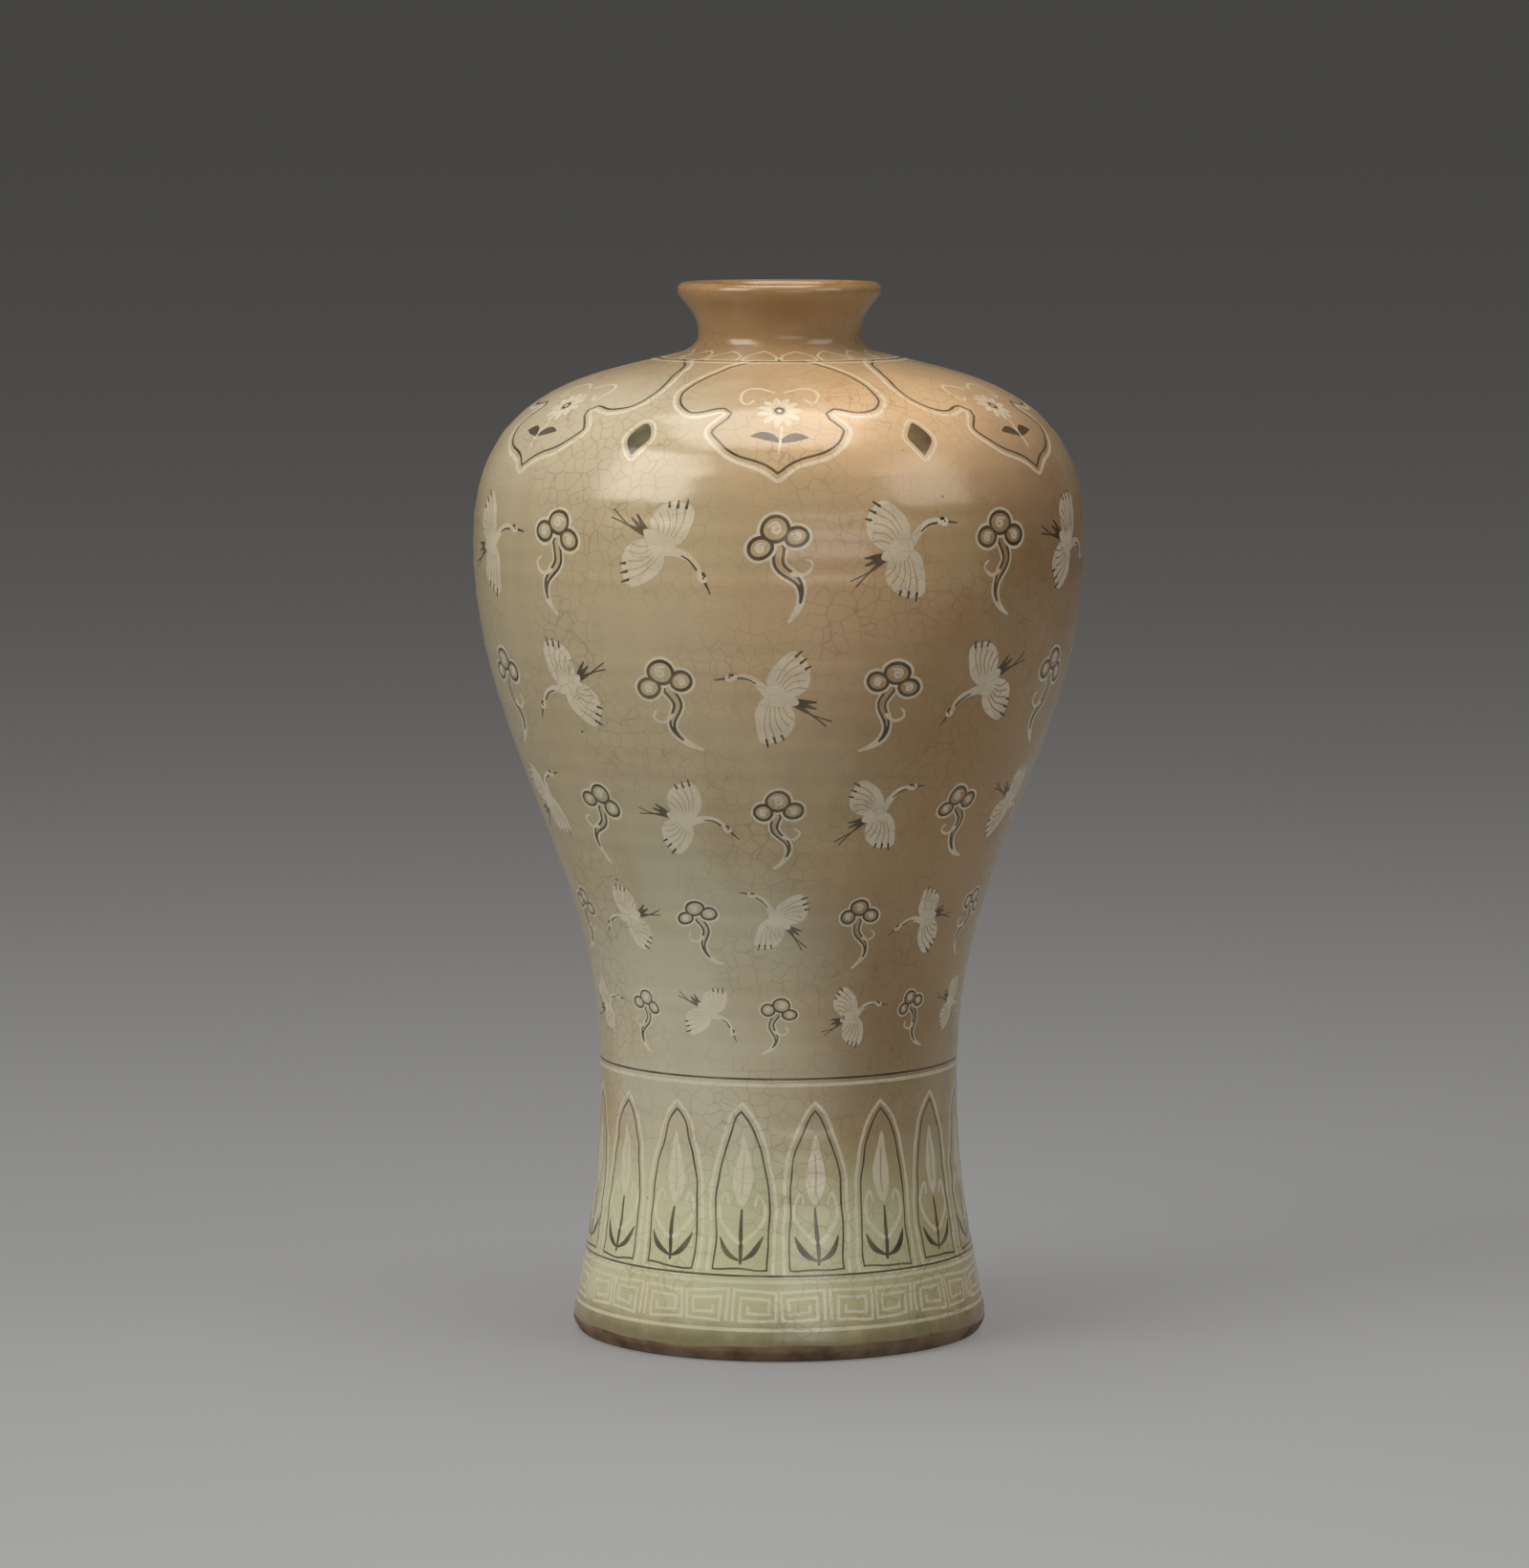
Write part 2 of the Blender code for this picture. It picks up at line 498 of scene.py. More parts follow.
def turned(outline: np.ndarray, degrees: float) -> np.ndarray:
    """An outline turned about its origin."""
    c, s = math.cos(math.radians(degrees)), math.sin(math.radians(degrees))
    return outline @ np.array([[c, s], [-s, c]])


def curve(points: Points, step: float = 1.15) -> np.ndarray:
    """Open smooth line through a few points, in millimetres."""
    return spline_through(np.array(points, float), step)


def loop(points: Points, step: float = 1.0) -> np.ndarray:
    """Closed smooth outline through a few points, in millimetres."""
    knots = np.array(points, float)
    wrapped = np.concatenate([knots[-3:], knots, knots[:3]])
    line = spline_through(wrapped, step)
    start = np.argmin(np.hypot(*(line - knots[0]).T)[: len(line) // 2])
    end = len(line) // 2 + np.argmin(np.hypot(*(line - knots[0]).T)[len(line) // 2:])
    return line[start:end]


def stroke(line: np.ndarray, start_width: float, end_width: float, swell: float = 0.0) -> np.ndarray:
    """Outline of a brush-like stroke.

    Args:
        line: The stroke's middle line, in millimetres.
        start_width: Its width where it starts.
        end_width: Its width where it ends.
        swell: How much wider it is half way along.

    Returns:
        A closed outline with round ends.
    """
    line = np.asarray(line, float)
    ahead = np.gradient(line, axis=0)
    ahead /= np.maximum(np.hypot(*ahead.T)[:, None], TINY)
    side = np.stack([-ahead[:, 1], ahead[:, 0]], axis=1)
    share = np.linspace(0, 1, len(line))
    half = (start_width + (end_width - start_width) * share + swell * np.sin(np.pi * share))[:, None] / 2
    tip = line[-1] + ahead[-1] * half[-1]
    tail = line[0] - ahead[0] * half[0]
    return np.concatenate([line - side * half, [tip], (line + side * half)[::-1], [tail]])


def enclosed(outline: np.ndarray, points: np.ndarray) -> np.ndarray:
    """Which points a closed outline goes round. Small loops where it crosses itself don't count.

    Args:
        outline: The outline's corners.
        points: The points to try.

    Returns:
        True for each point inside.
    """
    start, end = outline, np.roll(outline, -1, axis=0)
    way = np.sign(np.sum(start[:, 0] * end[:, 1] - end[:, 0] * start[:, 1]))
    x, y = points[:, :1], points[:, 1:]
    side = (end[:, 0] - start[:, 0]) * (y - start[:, 1]) - (x - start[:, 0]) * (end[:, 1] - start[:, 1])
    rising = (start[:, 1] <= y) & (end[:, 1] > y) & (side > 0)
    falling = (start[:, 1] > y) & (end[:, 1] <= y) & (side < 0)
    return (rising.sum(axis=1) - falling.sum(axis=1)) * way > 0


def kept_beside(outline: np.ndarray, turn: float, side: int) -> np.ndarray:
    """The part of a closed outline on one side of a straight line up the vase.

    Args:
        outline: The outline's corners, each as angle and distance up.
        turn: Angle of the line.
        side: 1 keeps what lies at larger angles, and -1 what lies at smaller ones.

    Returns:
        The part's corners, closed along the line.
    """
    depth = (outline[:, 0] - turn) * side
    ahead, deeper = np.roll(outline, -1, axis=0), np.roll(depth, -1)
    kept = []
    for point, following, here, there in zip(outline, ahead, depth, deeper):
        if here >= 0:
            kept.append(point)
        if here * there < 0:
            share = here / (here - there)
            kept.append(np.array([turn, point[1] + (following[1] - point[1]) * share]))
    return np.array(kept).reshape(-1, 2)


def finely(outline: np.ndarray, longest: float) -> np.ndarray:
    """A closed outline with its long sides cut into shorter ones."""
    pieces = []
    for a, b in zip(outline, np.roll(outline, -1, axis=0)):
        count = max(1, math.ceil(np.hypot(*(b - a)) / longest))
        pieces.append(a + (b - a) * np.linspace(0, 1, count, endpoint=False)[:, None])
    return np.concatenate(pieces)


@dataclass(frozen=True)
class Spot:
    """Where a motif sits on the outside: its angle round the vase, its distance up, and how it is drawn."""

    turn: float
    rise: float
    size: float = 1.0
    lean: float = 0.0
    flipped: bool = False


@dataclass(frozen=True)
class Hand:
    """How far a line cut by hand strays from where it was meant, slowly and with a small tremor.

    Attributes:
        across: Waves of the straying sideways.
        upward: Waves of the straying up and down.
        uneven_width: How unevenly wide the inner lines are, as a share.
        full_girth: Radius of the vase from which lines stray fully.
    """

    across: Waves = (
        (13, 190, 0.4, 0.26 * MM), (9, -310, 2.0, 0.156 * MM), (41, 520, 0.0, 0.05 * MM),
        (33, -640, 1.1, 0.05 * MM),
    )
    upward: Waves = (
        (11, -230, 1.9, 0.26 * MM), (15, 270, 0.9, 0.156 * MM), (37, 600, 2.4, 0.05 * MM),
        (35, -490, 0.0, 0.05 * MM),
    )
    uneven_width: float = 0.05
    full_girth: float = 0.055

    def strayed(self, shape: np.ndarray, girth: np.ndarray) -> np.ndarray:
        """Moves a shape as the hand did, neighbouring lines together.

        Args:
            shape: Its corners, each as angle and distance up.
            girth: Radius of the outside at each corner.

        Returns:
            The moved corners.
        """
        turn, rise = shape.T
        across, upward = waving(self.across, turn, rise), waving(self.upward, turn, rise)
        room = np.minimum(girth / self.full_girth, 1.0)
        return shape + np.stack([across * room / girth, upward * room], axis=1)

    def width(self, shape: np.ndarray) -> np.ndarray:
        """How wide a line is cut at each corner, as a share of what was meant."""
        return 1 + self.uneven_width * np.sin(29 * shape[:, 0] + 380 * shape[:, 1])


@dataclass
class Drawing:
    """The inlay on the unrolled outside, as closed outlines. A later outline lies over the earlier ones."""

    section: Section
    hand: Hand = Hand()
    outlines: list[tuple[Slip, np.ndarray]] = field(default_factory=list)
    last: np.ndarray = field(default_factory=lambda: np.zeros((0, 2)))

    LONGEST = 2.5
    RING_CORNERS = 241

    def lay(self, slip: Slip, shape: np.ndarray) -> None:
        """Lays one outline, in two parts where it crosses the seam at the back.

        Args:
            slip: What it is filled with.
            shape: Its corners, each as angle and distance up.
        """
        self.last = shape
        for moved in (shape - (FULL_TURN, 0), shape, shape + (FULL_TURN, 0)):
            if moved[:, 0].max() > -math.pi and moved[:, 0].min() < math.pi:
                part = kept_beside(kept_beside(moved, -math.pi, 1), math.pi, -1)
                self.outlines.append((slip, part))

    def motif(self, slip: Slip, outline: np.ndarray, spot: Spot) -> None:
        """Lays one outline of a motif.

        Args:
            slip: What it is filled with.
            outline: Its outline in millimetres round the motif's own middle.
            spot: Where the motif sits.
        """
        shape = finely(np.asarray(outline, float) * (-1 if spot.flipped else 1, 1), self.LONGEST / spot.size)
        shape = turned(shape, spot.lean) * spot.size * MM
        rise = spot.rise + shape[:, 1]
        girth = self.section.girth(rise)
        meant = np.stack([spot.turn + shape[:, 0] / girth, rise], axis=1)
        self.lay(slip, self.hand.strayed(meant, girth))

    def tile(self, slip: Slip, outline: np.ndarray, middle: float, pitch: float, foot: float) -> None:
        """Lays one outline of a pattern that repeats round the vase.

        Args:
            slip: What it is filled with.
            outline: Its outline, across as a share of the repeat and up in millimetres.
            middle: Angle of the repeat's middle.
            pitch: Angle from one repeat to the next.
            foot: Distance up the outside to the pattern's own zero.
        """
        shape = np.asarray(outline, float)
        meant = np.stack([middle + shape[:, 0] * pitch, foot + shape[:, 1] * MM], axis=1)
        self.lay(slip, self.hand.strayed(meant, self.section.girth(meant[:, 1])))

    def inset(self, slip: Slip, by: float) -> None:
        """Lays the last outline again, drawn in by a distance in millimetres, in another slip."""
        shape = self.last
        girth = self.section.girth(shape[:, 1])
        flat = np.stack([(shape[:, 0] - shape[:, 0].mean()) * girth, shape[:, 1]], axis=1)
        along = np.roll(flat, -1, axis=0) - np.roll(flat, 1, axis=0)
        along /= np.maximum(np.hypot(*along.T)[:, None], TINY)
        area = np.sum(flat[:, 0] * np.roll(flat[:, 1], -1) - np.roll(flat[:, 0], -1) * flat[:, 1])
        inward = np.stack([-along[:, 1], along[:, 0]], axis=1) * math.copysign(by * MM, area)
        inward *= self.hand.width(shape)[:, None]
        self.lay(slip, np.stack([shape[:, 0] + inward[:, 0] / girth, shape[:, 1] + inward[:, 1]], axis=1))

    def ring(self, slip: Slip, low: float, thickness: float) -> None:
        """Lays a line all the way round, from a distance up the outside, as thick as given in metres."""
        across = np.linspace(-math.pi, math.pi, self.RING_CORNERS)
        lower = np.stack([across, np.full_like(across, low)], axis=1)
        upper = np.stack([across[::-1], np.full_like(across, low + thickness)], axis=1)
        self.lay(slip, np.concatenate([lower, upper]))


@dataclass(frozen=True)
class Crane:
    """A crane in flight, white with black beak, tail and legs, about 40 mm from beak to toes at size 1."""

    feather_line: float = 0.55
    leg_width: float = 0.6

    def draw(self, drawing: Drawing, spot: Spot) -> None:
        """Draws the crane, flying to the right unless the spot is flipped."""
        for end in ((-18.5, -2.2), (-17.5, -4.4)):
            leg = curve([(-4.5, -1.0), (-11, -2.0), end])
            drawing.motif(Slip.BLACK, stroke(leg, self.leg_width, 0.5), spot)
        for end, width in (((-11.5, 2.4), 1.5), ((-12.2, 0.3), 1.6), ((-11.2, -1.9), 1.4)):
            drawing.motif(Slip.BLACK, stroke(curve([(-4, 0), end], 2), width, 0.6, 0.5), spot)
        self._wing(drawing, spot, 1.0)
        self._wing(drawing, spot, -1.0)
        back = loop([(6.5, 1.2), (3, 2.9), (-3, 2.5), (-6.6, 0.2), (-3, -2.4), (3, -2.3)])
        drawing.motif(Slip.WHITE, back, spot)
        neck = curve([(4.5, 0.6), (8.5, 2.6), (12.5, 3.2), (16.8, 1.4)])
        drawing.motif(Slip.WHITE, stroke(neck, 3.0, 1.5), spot)
        drawing.motif(Slip.BLACK, stroke(curve([(8.2, 1.9), (11.5, 2.6), (14.4, 2.0)]), 0.5, 0.7), spot)
        drawing.motif(Slip.BLACK, stroke(curve([(17.6, 1.1), (19.6, 0.2), (21.8, -0.9)]), 1.0, 0.4), spot)
        drawing.motif(Slip.WHITE, oval(17.0, 1.4, 1.8, 1.4, -20), spot)
        drawing.motif(Slip.BLACK, oval(16.9, 2.4, 1.0, 0.55, -20), spot)
        drawing.motif(Slip.BLACK, oval(17.4, 1.4, 0.36, 0.36), spot)

    def _wing(self, drawing: Drawing, spot: Spot, side: float) -> None:
        """Draws one spread wing, over the back for side 1 and under the belly for side -1."""
        edge = [(3.6, 1.4), (5.6, 6.4), (4.4, 11.6), (0.6, 16.2), (-1.9, 15.4), (-4.0, 14.2), (-5.9, 12.2)]
        edge += [(-7.3, 9.6), (-7.7, 6.8), (-6.6, 3.8), (-3.6, 1.2)]
        drawing.motif(Slip.WHITE, loop([(x, y * side) for x, y in edge]), spot)
        for number in range(5):
            root = (2.4 - 1.15 * number, 4.6 - 0.5 * number)
            tip = (-0.8 - 1.75 * number, 15.0 - 2.35 * number)
            bow = ((root[0] + tip[0]) / 2 + 1.0, (root[1] + tip[1]) / 2 + 0.4)
            line = curve([(x, y * side) for x, y in (root, bow, tip)])
            drawing.motif(Slip.CLAY, stroke(line, 0.35, self.feather_line), spot)
        for number in range(3):
            start = (-0.3 - 2.2 * number, 14.6 - 1.5 * number)
            end = (start[0] - 1.3, start[1] + 2.3 - 0.5 * number)
            quill = np.array([start, end]) * (1, side)
            drawing.motif(Slip.BLACK, stroke(quill, 1.0, 0.6), spot)


@dataclass(frozen=True)
class Cloud:
    """A mushroom-headed cloud with a trailing stem, in a white and a black line, about 30 mm long."""

    white_line: float = 0.8
    black_line: float = 0.95

    def draw(self, drawing: Drawing, spot: Spot) -> None:
        """Draws the cloud with its head up and its stem trailing down to one side."""
        stem = curve([(0.2, -1.0), (1.6, -6.0), (-1.8, -11.5), (-0.6, -17.0), (3.6, -20.5)])
        drawing.motif(Slip.WHITE, stroke(stem, 4.6, 0.7, 0.8), spot)
        drawing.motif(Slip.BLACK, stroke(stem[:-5], 3.2, 0.7, 0.5), spot)
        drawing.motif(Slip.CLAY, stroke(stem[:-9], 1.5, 0.4, 0.3), spot)
        puff = curve([(-0.6, -8.6), (-4.6, -9.8), (-6.4, -7.6), (-5.0, -6.2)])
        drawing.motif(Slip.WHITE, stroke(puff, 1.1, 0.7), spot)
        lobes = ((-4.9, 0.4, 4.3, 3.8), (4.9, 0.4, 4.3, 3.8), (0.0, 3.9, 4.9, 4.4))
        inner = self.white_line + self.black_line
        for slip, inset in ((Slip.WHITE, 0.0), (Slip.BLACK, self.white_line), (Slip.CLAY, inner)):
            for x, y, wide, high in lobes:
                drawing.motif(slip, oval(x, y, wide - inset, high - inset), spot)
        for x, y, radius, side in ((-4.9, 0.3, 1.75, 1), (4.9, 0.3, 1.75, -1), (0.0, 3.9, 2.15, 1)):
            drawing.motif(Slip.WHITE, stroke(self._curl(x, y, radius, side), 0.5, 1.1), spot)

    @staticmethod
    def _curl(x: float, y: float, radius: float, side: int) -> np.ndarray:
        """A small spiral round the middle of a lobe, opening to one side."""
        reach = [radius * 0.78**step for step in range(6)]
        angle = [0.6 + step * math.pi / 2 for step in range(6)]
        spiral = [(x + side * r * math.cos(a), y + 0.86 * r * math.sin(a)) for r, a in zip(reach, angle)]
        return curve(spiral, 0.85)


@dataclass(frozen=True)
class Chrysanthemum:
    """A round flower head of white petals about a black eye, with a pair of black leaves."""

    petals: int = 11
    radius: float = 5.4

    def draw(self, drawing: Drawing, spot: Spot) -> None:
        """Draws the flower over its leaves."""
        for side in (-1, 1):
            leaf = np.array([(0, -5.5), (3.6 * side, -3.6), (7.6 * side, -3.8)]) - (0, self.radius)
            drawing.motif(Slip.BLACK, stroke(curve(leaf), 0.6, 0.5, 2.4), spot)
        stem = curve([(0, -self.radius - 9), (0.3, -self.radius)], 2)
        drawing.motif(Slip.WHITE, stroke(stem, 0.7, 0.7), spot)
        for number in range(self.petals):
            angle = 360 * number / self.petals
            petal = turned(oval(self.radius * 0.66, 0, self.radius * 0.36, self.radius * 0.165), angle)
            drawing.motif(Slip.WHITE, petal, spot)
        drawing.motif(Slip.BLACK, oval(0, 0, self.radius * 0.25, self.radius * 0.25), spot)
        drawing.motif(Slip.WHITE, oval(0, 0, self.radius * 0.11, self.radius * 0.11), spot)


@dataclass(frozen=True)
class CloudCollar:
    """Round the shoulder: hanging cloud-headed panels in white and black lines, a flower in each."""

    panels: int = 6
    top_rise: float = 0.3070
    length: float = 57.0
    white_line: float = 1.15
    black_line: float = 0.75

    def draw(self, drawing: Drawing) -> None:
        """Draws the panels, one of them straight at the front, with pendants between them."""
        half = [(0.36, 0), (0.43, -9), (0.465, -19), (0.45, -28), (0.375, -34.5), (0.27, -35), (0.215, -33.5)]
        half += [(0.26, -39), (0.235, -45.5), (0.14, -51), (0.05, -54), (0.0, -self.length)]
        outline = [*half, *[(-x, y) for x, y in reversed(half[:-1])]]
        pitch = FULL_TURN / self.panels
        for number in range(self.panels):
            middle = (number - (self.panels - 1) // 2) * pitch
            self._panel(drawing, outline, middle, pitch)
            self._pendant(drawing, middle - pitch / 2, pitch)

    def _panel(self, drawing: Drawing, outline: Points, middle: float, pitch: float) -> None:
        """Draws one panel and the flower inside it."""
        smooth = tile_loop(outline)
        drawing.tile(Slip.WHITE, smooth, middle, pitch, self.top_rise)
        drawing.inset(Slip.CLAY, self.white_line)
        drawing.inset(Slip.BLACK, 1.0)
        drawing.inset(Slip.CLAY, self.black_line)
        low = self.top_rise - 0.62 * self.length * MM
        Chrysanthemum(radius=6.4).draw(drawing, Spot(middle, low + 3 * MM, 1.0))
        for side in (-1, 1):
            curl = np.array([(1.5, 13), (7, 15.5), (11, 11), (9.5, 6.5), (7.4, 8.6)]) * (side, 1)
            drawing.motif(Slip.WHITE, stroke(curve(curl), 1.0, 0.7), Spot(middle, low))

    def _pendant(self, drawing: Drawing, middle: float, pitch: float) -> None:
        """Draws the bud that hangs between two panels."""
        drop = [(0.0, -36.5), (0.05, -40), (0.062, -44), (0.035, -48), (0.0, -51)]
        outline = [*drop, *[(-x, y) for x, y in reversed(drop[1:-1])]]
        drawing.tile(Slip.WHITE, tile_loop(outline), middle, pitch, self.top_rise)
        drawing.inset(Slip.CLAY, 0.8)
        drawing.inset(Slip.BLACK, 0.9)


def tile_loop(outline: Points, across: float = 60.0) -> np.ndarray:
    """Closed smooth outline of a repeat's shape, worked out at about its real width in millimetres."""
    scale = np.array([across, 1.0])
    return loop([tuple(p) for p in np.array(outline, float) * scale], 1.0) / scale


@dataclass(frozen=True)
class PetalBand:
    """A band of lotus petals in white lines, the large ones with a black line and a bud inside."""

    petals: int
    foot_rise: float
    length: float
    white_line: float = 0.95
    upward: bool = True
    hearted: bool = True
    across: float = 25.0

    def draw(self, drawing: Drawing) -> None:
        """Draws the petals so that two of them meet at the back of the vase."""
        length = self.length
        half = [(0.0, 1.0), (0.16, 0.93), (0.32, 0.78), (0.43, 0.58), (0.465, 0.33), (0.45, 0.0)]
        way = 1 if self.upward else -1
        right = curve([(x * self.across, y * length) for x, y in half]) * (1 / self.across, way)
        foot = np.linspace(right[-1], right[-1] * (-1, 1), 24)[1:-1]
        outline = np.concatenate([right, foot, right[:0:-1] * (-1, 1)])
        pitch = FULL_TURN / self.petals
        for number in range(self.petals):
            middle = (number + 0.5) * pitch - math.pi
            drawing.tile(Slip.WHITE, outline, middle, pitch, self.foot_rise)
            drawing.inset(Slip.CLAY, self.white_line)
            if self.hearted:
                self._heart(drawing, middle, way)

    def _heart(self, drawing: Drawing, middle: float, way: int) -> None:
        """Draws a second petal, a bud and two curls inside one petal."""
        tall = self.length
        spot = Spot(middle, self.foot_rise, lean=0 if way > 0 else 180)
        drawing.inset(Slip.BLACK, 0.9)
        drawing.inset(Slip.CLAY, 0.55)
        bud = [(0, 0.80), (1.5, 0.70), (2.7, 0.58), (1.9, 0.46), (0, 0.40), (-1.9, 0.46), (-2.7, 0.58)]
        bud += [(-1.5, 0.70)]
        drawing.motif(Slip.WHITE, loop([(x, y * tall) for x, y in bud]), spot)
        vein = curve([(0, tall * 0.47), (0, tall * 0.70)], 1.2)
        drawing.motif(Slip.CLAY, stroke(vein, 0.7, 0.45), spot)
        stalk = curve([(0, tall * 0.08), (0, tall * 0.38)], 1.2)
        drawing.motif(Slip.BLACK, stroke(stalk, 0.9, 0.6, 0.5), spot)
        for side in (-1, 1):
            curl = np.array([(0.9, 0.20), (4.4, 0.27), (6.2, 0.40), (4.4, 0.47), (3.5, 0.41)]) * (side, tall)
            drawing.motif(Slip.WHITE, stroke(curve(curl), 1.3, 0.8), spot)
            leaf = np.array([(0.6, 0.10), (3.4, 0.13), (6.4, 0.23)]) * (side, tall)
            drawing.motif(Slip.BLACK, stroke(curve(leaf), 0.6, 0.4, 1.2), spot)


@dataclass(frozen=True)
class KeyFret:
    """The thunder pattern round the foot: square spirals in one white line."""

    units: int = 26
    foot_rise: float = 0.0085
    tall: float = 8.2
    line: float = 0.85
    margin: float = 0.9

    def draw(self, drawing: Drawing) -> None:
        """Draws the spirals in pairs, back to back."""
        pitch = FULL_TURN / self.units
        wide = pitch * float(drawing.section.girth(self.foot_rise)) / MM
        left, right = self.margin - wide / 2, wide / 2 - self.margin
        top = self.tall
        gap = top / 4
        path = [(left, 0), (left, top), (right, top), (right, 0), (left + gap, 0), (left + gap, top - gap)]
        path += [(right - gap, top - gap), (right - gap, gap)]
        path += [(left + 2 * gap, gap), (left + 2 * gap, 2 * gap)]
        for number in range(self.units):
            spot = Spot((number + 0.5) * pitch - math.pi, self.foot_rise, flipped=number % 2 == 1)
            drawing.motif(Slip.WHITE, square_stroke(path, self.line), spot)


def square_stroke(path: Points, width: float) -> np.ndarray:
    """Outline of a line of even width with square corners, in millimetres."""
    line = np.array(path, float)
    ahead = np.diff(line, axis=0)
    ahead /= np.hypot(*ahead.T)[:, None]
    side = np.stack([-ahead[:, 1], ahead[:, 0]], axis=1) * width / 2
    left, right = [], []
    for i, point in enumerate(line):
        if i == 0:
            offset = side[0]
        elif i == len(line) - 1:
            offset = side[-1]
        else:
            offset = side[i - 1] + side[i]
        left.append(point + offset)
        right.append(point - offset)
    return np.array(right + left[::-1])


@dataclass(frozen=True)
class Flock:
    """Cranes and clouds on the body, in staggered rows that grow smaller towards the waist."""

    pairs: int = 8
    rows: tuple[tuple[float, float], ...] = (
        (0.2300, 0.90), (0.1900, 0.86), (0.1530, 0.74), (0.1205, 0.62), (0.0930, 0.53),
    )
    cloud_size: float = 1.16

    def draw(self, drawing: Drawing) -> None:
        """Draws every row, each crane between two clouds and under a cloud of the row above."""
        crane, cloud = Crane(), Cloud()
        pitch = FULL_TURN / self.pairs
        for row, (rise, size) in enumerate(self.rows):
            for number in range(self.pairs):
                turns = (number * pitch - math.pi, (number + 0.5) * pitch - math.pi)
                cloud_turn, crane_turn = turns[::-1] if row % 2 else turns
                wave = math.sin(2.4 * number + 1.7 * row)
                flying = 30 + 12 * wave if (number + row) % 2 else -26 - 12 * wave
                crane_rise = rise + (2.0 + 1.5 * wave) * MM * size
                crane.draw(drawing, Spot(crane_turn, crane_rise, size, -flying, row % 2 == 1))
                drift = 18 * math.sin(1.9 * number + 2.6 * row)
                cloud_rise, cloud_size = rise + 4 * MM * size, self.cloud_size * size
                cloud.draw(drawing, Spot(cloud_turn, cloud_rise, cloud_size, drift, number % 2 == 0))


@dataclass(frozen=True)
class RingLines:
    """White lines with a thin black one that part one zone of the drawing from the next."""

    rises: tuple[float, ...] = (0.0054, 0.0188, 0.0740, 0.3093)
    line: float = 1.0 * MM
    gap: float = 0.9 * MM
    paired_above: float = 0.0100

    def draw(self, drawing: Drawing) -> None:
        """Draws each white line, with a thin black one over all but the lowest."""
        for rise in self.rises:
            drawing.ring(Slip.WHITE, rise, self.line)
            if rise > self.paired_above:
                drawing.ring(Slip.BLACK, rise + self.line + self.gap, 0.6 * self.line)


@dataclass(frozen=True)
class GlazeEdge:
    """The edge of the glaze above the foot, where it was wiped off before firing."""

    height: float = 1.15 * MM
    waver: Waves = ((3, 0, 0.4, 0.5), (7, 0, 2.0, 0.3), (17, 0, 0.0, 0.2))
    waver_size: float = 0.75 * MM
    corners: int = 421

    def draw(self, drawing: Drawing) -> None:
        """Lays the bare clay up to a wandering line."""
        across = np.linspace(-math.pi, math.pi, self.corners)
        edge = self.height + self.waver_size * waving(self.waver, across)
        upper = np.stack([across, edge], axis=1)
        drawing.lay(Slip.UNGLAZED, np.concatenate([upper, [(math.pi, 0.0), (-math.pi, 0.0)]]))


def inlay(section: Section) -> Drawing:
    """Draws all the inlay, from the foot up to the neck.

    Args:
        section: The vase's section, which says how wide the outside is at each place.

    Returns:
        The finished drawing.
    """
    drawing = Drawing(section)
    PetalBand(petals=16, foot_rise=0.0205, length=49.5).draw(drawing)
    KeyFret().draw(drawing)
    Flock().draw(drawing)
    CloudCollar().draw(drawing)
    small_petals = PetalBand(18, foot_rise=0.3120, length=9.0, white_line=0.7, hearted=False, across=9.0)
    small_petals.draw(drawing)
    RingLines().draw(drawing)
    GlazeEdge().draw(drawing)
    return drawing


# Mesh of the vase

@dataclass(frozen=True)
class Fineness:
    """How closely the mesh is cut, in metres, and in columns where it is evenly ringed."""

    columns: int = 160
    outside: float = 3.4 * MM
    neck: float = 1.5 * MM
    neck_height: float = 0.278
    clear_of_lines: float = 0.85 * MM
    hollow: float = 7.0 * MM
    edges: float = 0.6 * MM
    foot_side: float = 0.45 * MM
    standing_ring: float = 1.2 * MM
    base_edge: float = 0.5 * MM
    base: float = 4.0 * MM
    plane_radius: float = 0.07


class Zone(Enum):
    """The vase's surfaces, by the material slot that each has."""

    GLAZE = 0
    WHITE_INLAY = 1
    BLACK_INLAY = 2
    HOLLOW = 3
    BARE_FOOT = 4


ZONE_OF = {
    Slip.CLAY: Zone.GLAZE,
    Slip.WHITE: Zone.WHITE_INLAY,
    Slip.BLACK: Zone.BLACK_INLAY,
    Slip.UNGLAZED: Zone.BARE_FOOT,
}


@dataclass
class Patchwork:
    """Parts of the mesh, each vertex as its angle and its distance walked, before they are joined."""

    turns: list[np.ndarray] = field(default_factory=list)
    walks: list[np.ndarray] = field(default_factory=list)
    faces: list[tuple[int, ...]] = field(default_factory=list)
    zones: list[int] = field(default_factory=list)
    count: int = 0

    def add(self, turn: np.ndarray, walk: np.ndarray, faces: Iterable[Sequence[int]],
            zones: Iterable[int]) -> None:
        """Adds vertices, with faces that count from them."""
        start = self.count
        self.turns.append(turn)
        self.walks.append(walk)
        self.faces += [tuple(start + i for i in face) for face in faces]
        self.zones += list(zones)
        self.count += len(turn)


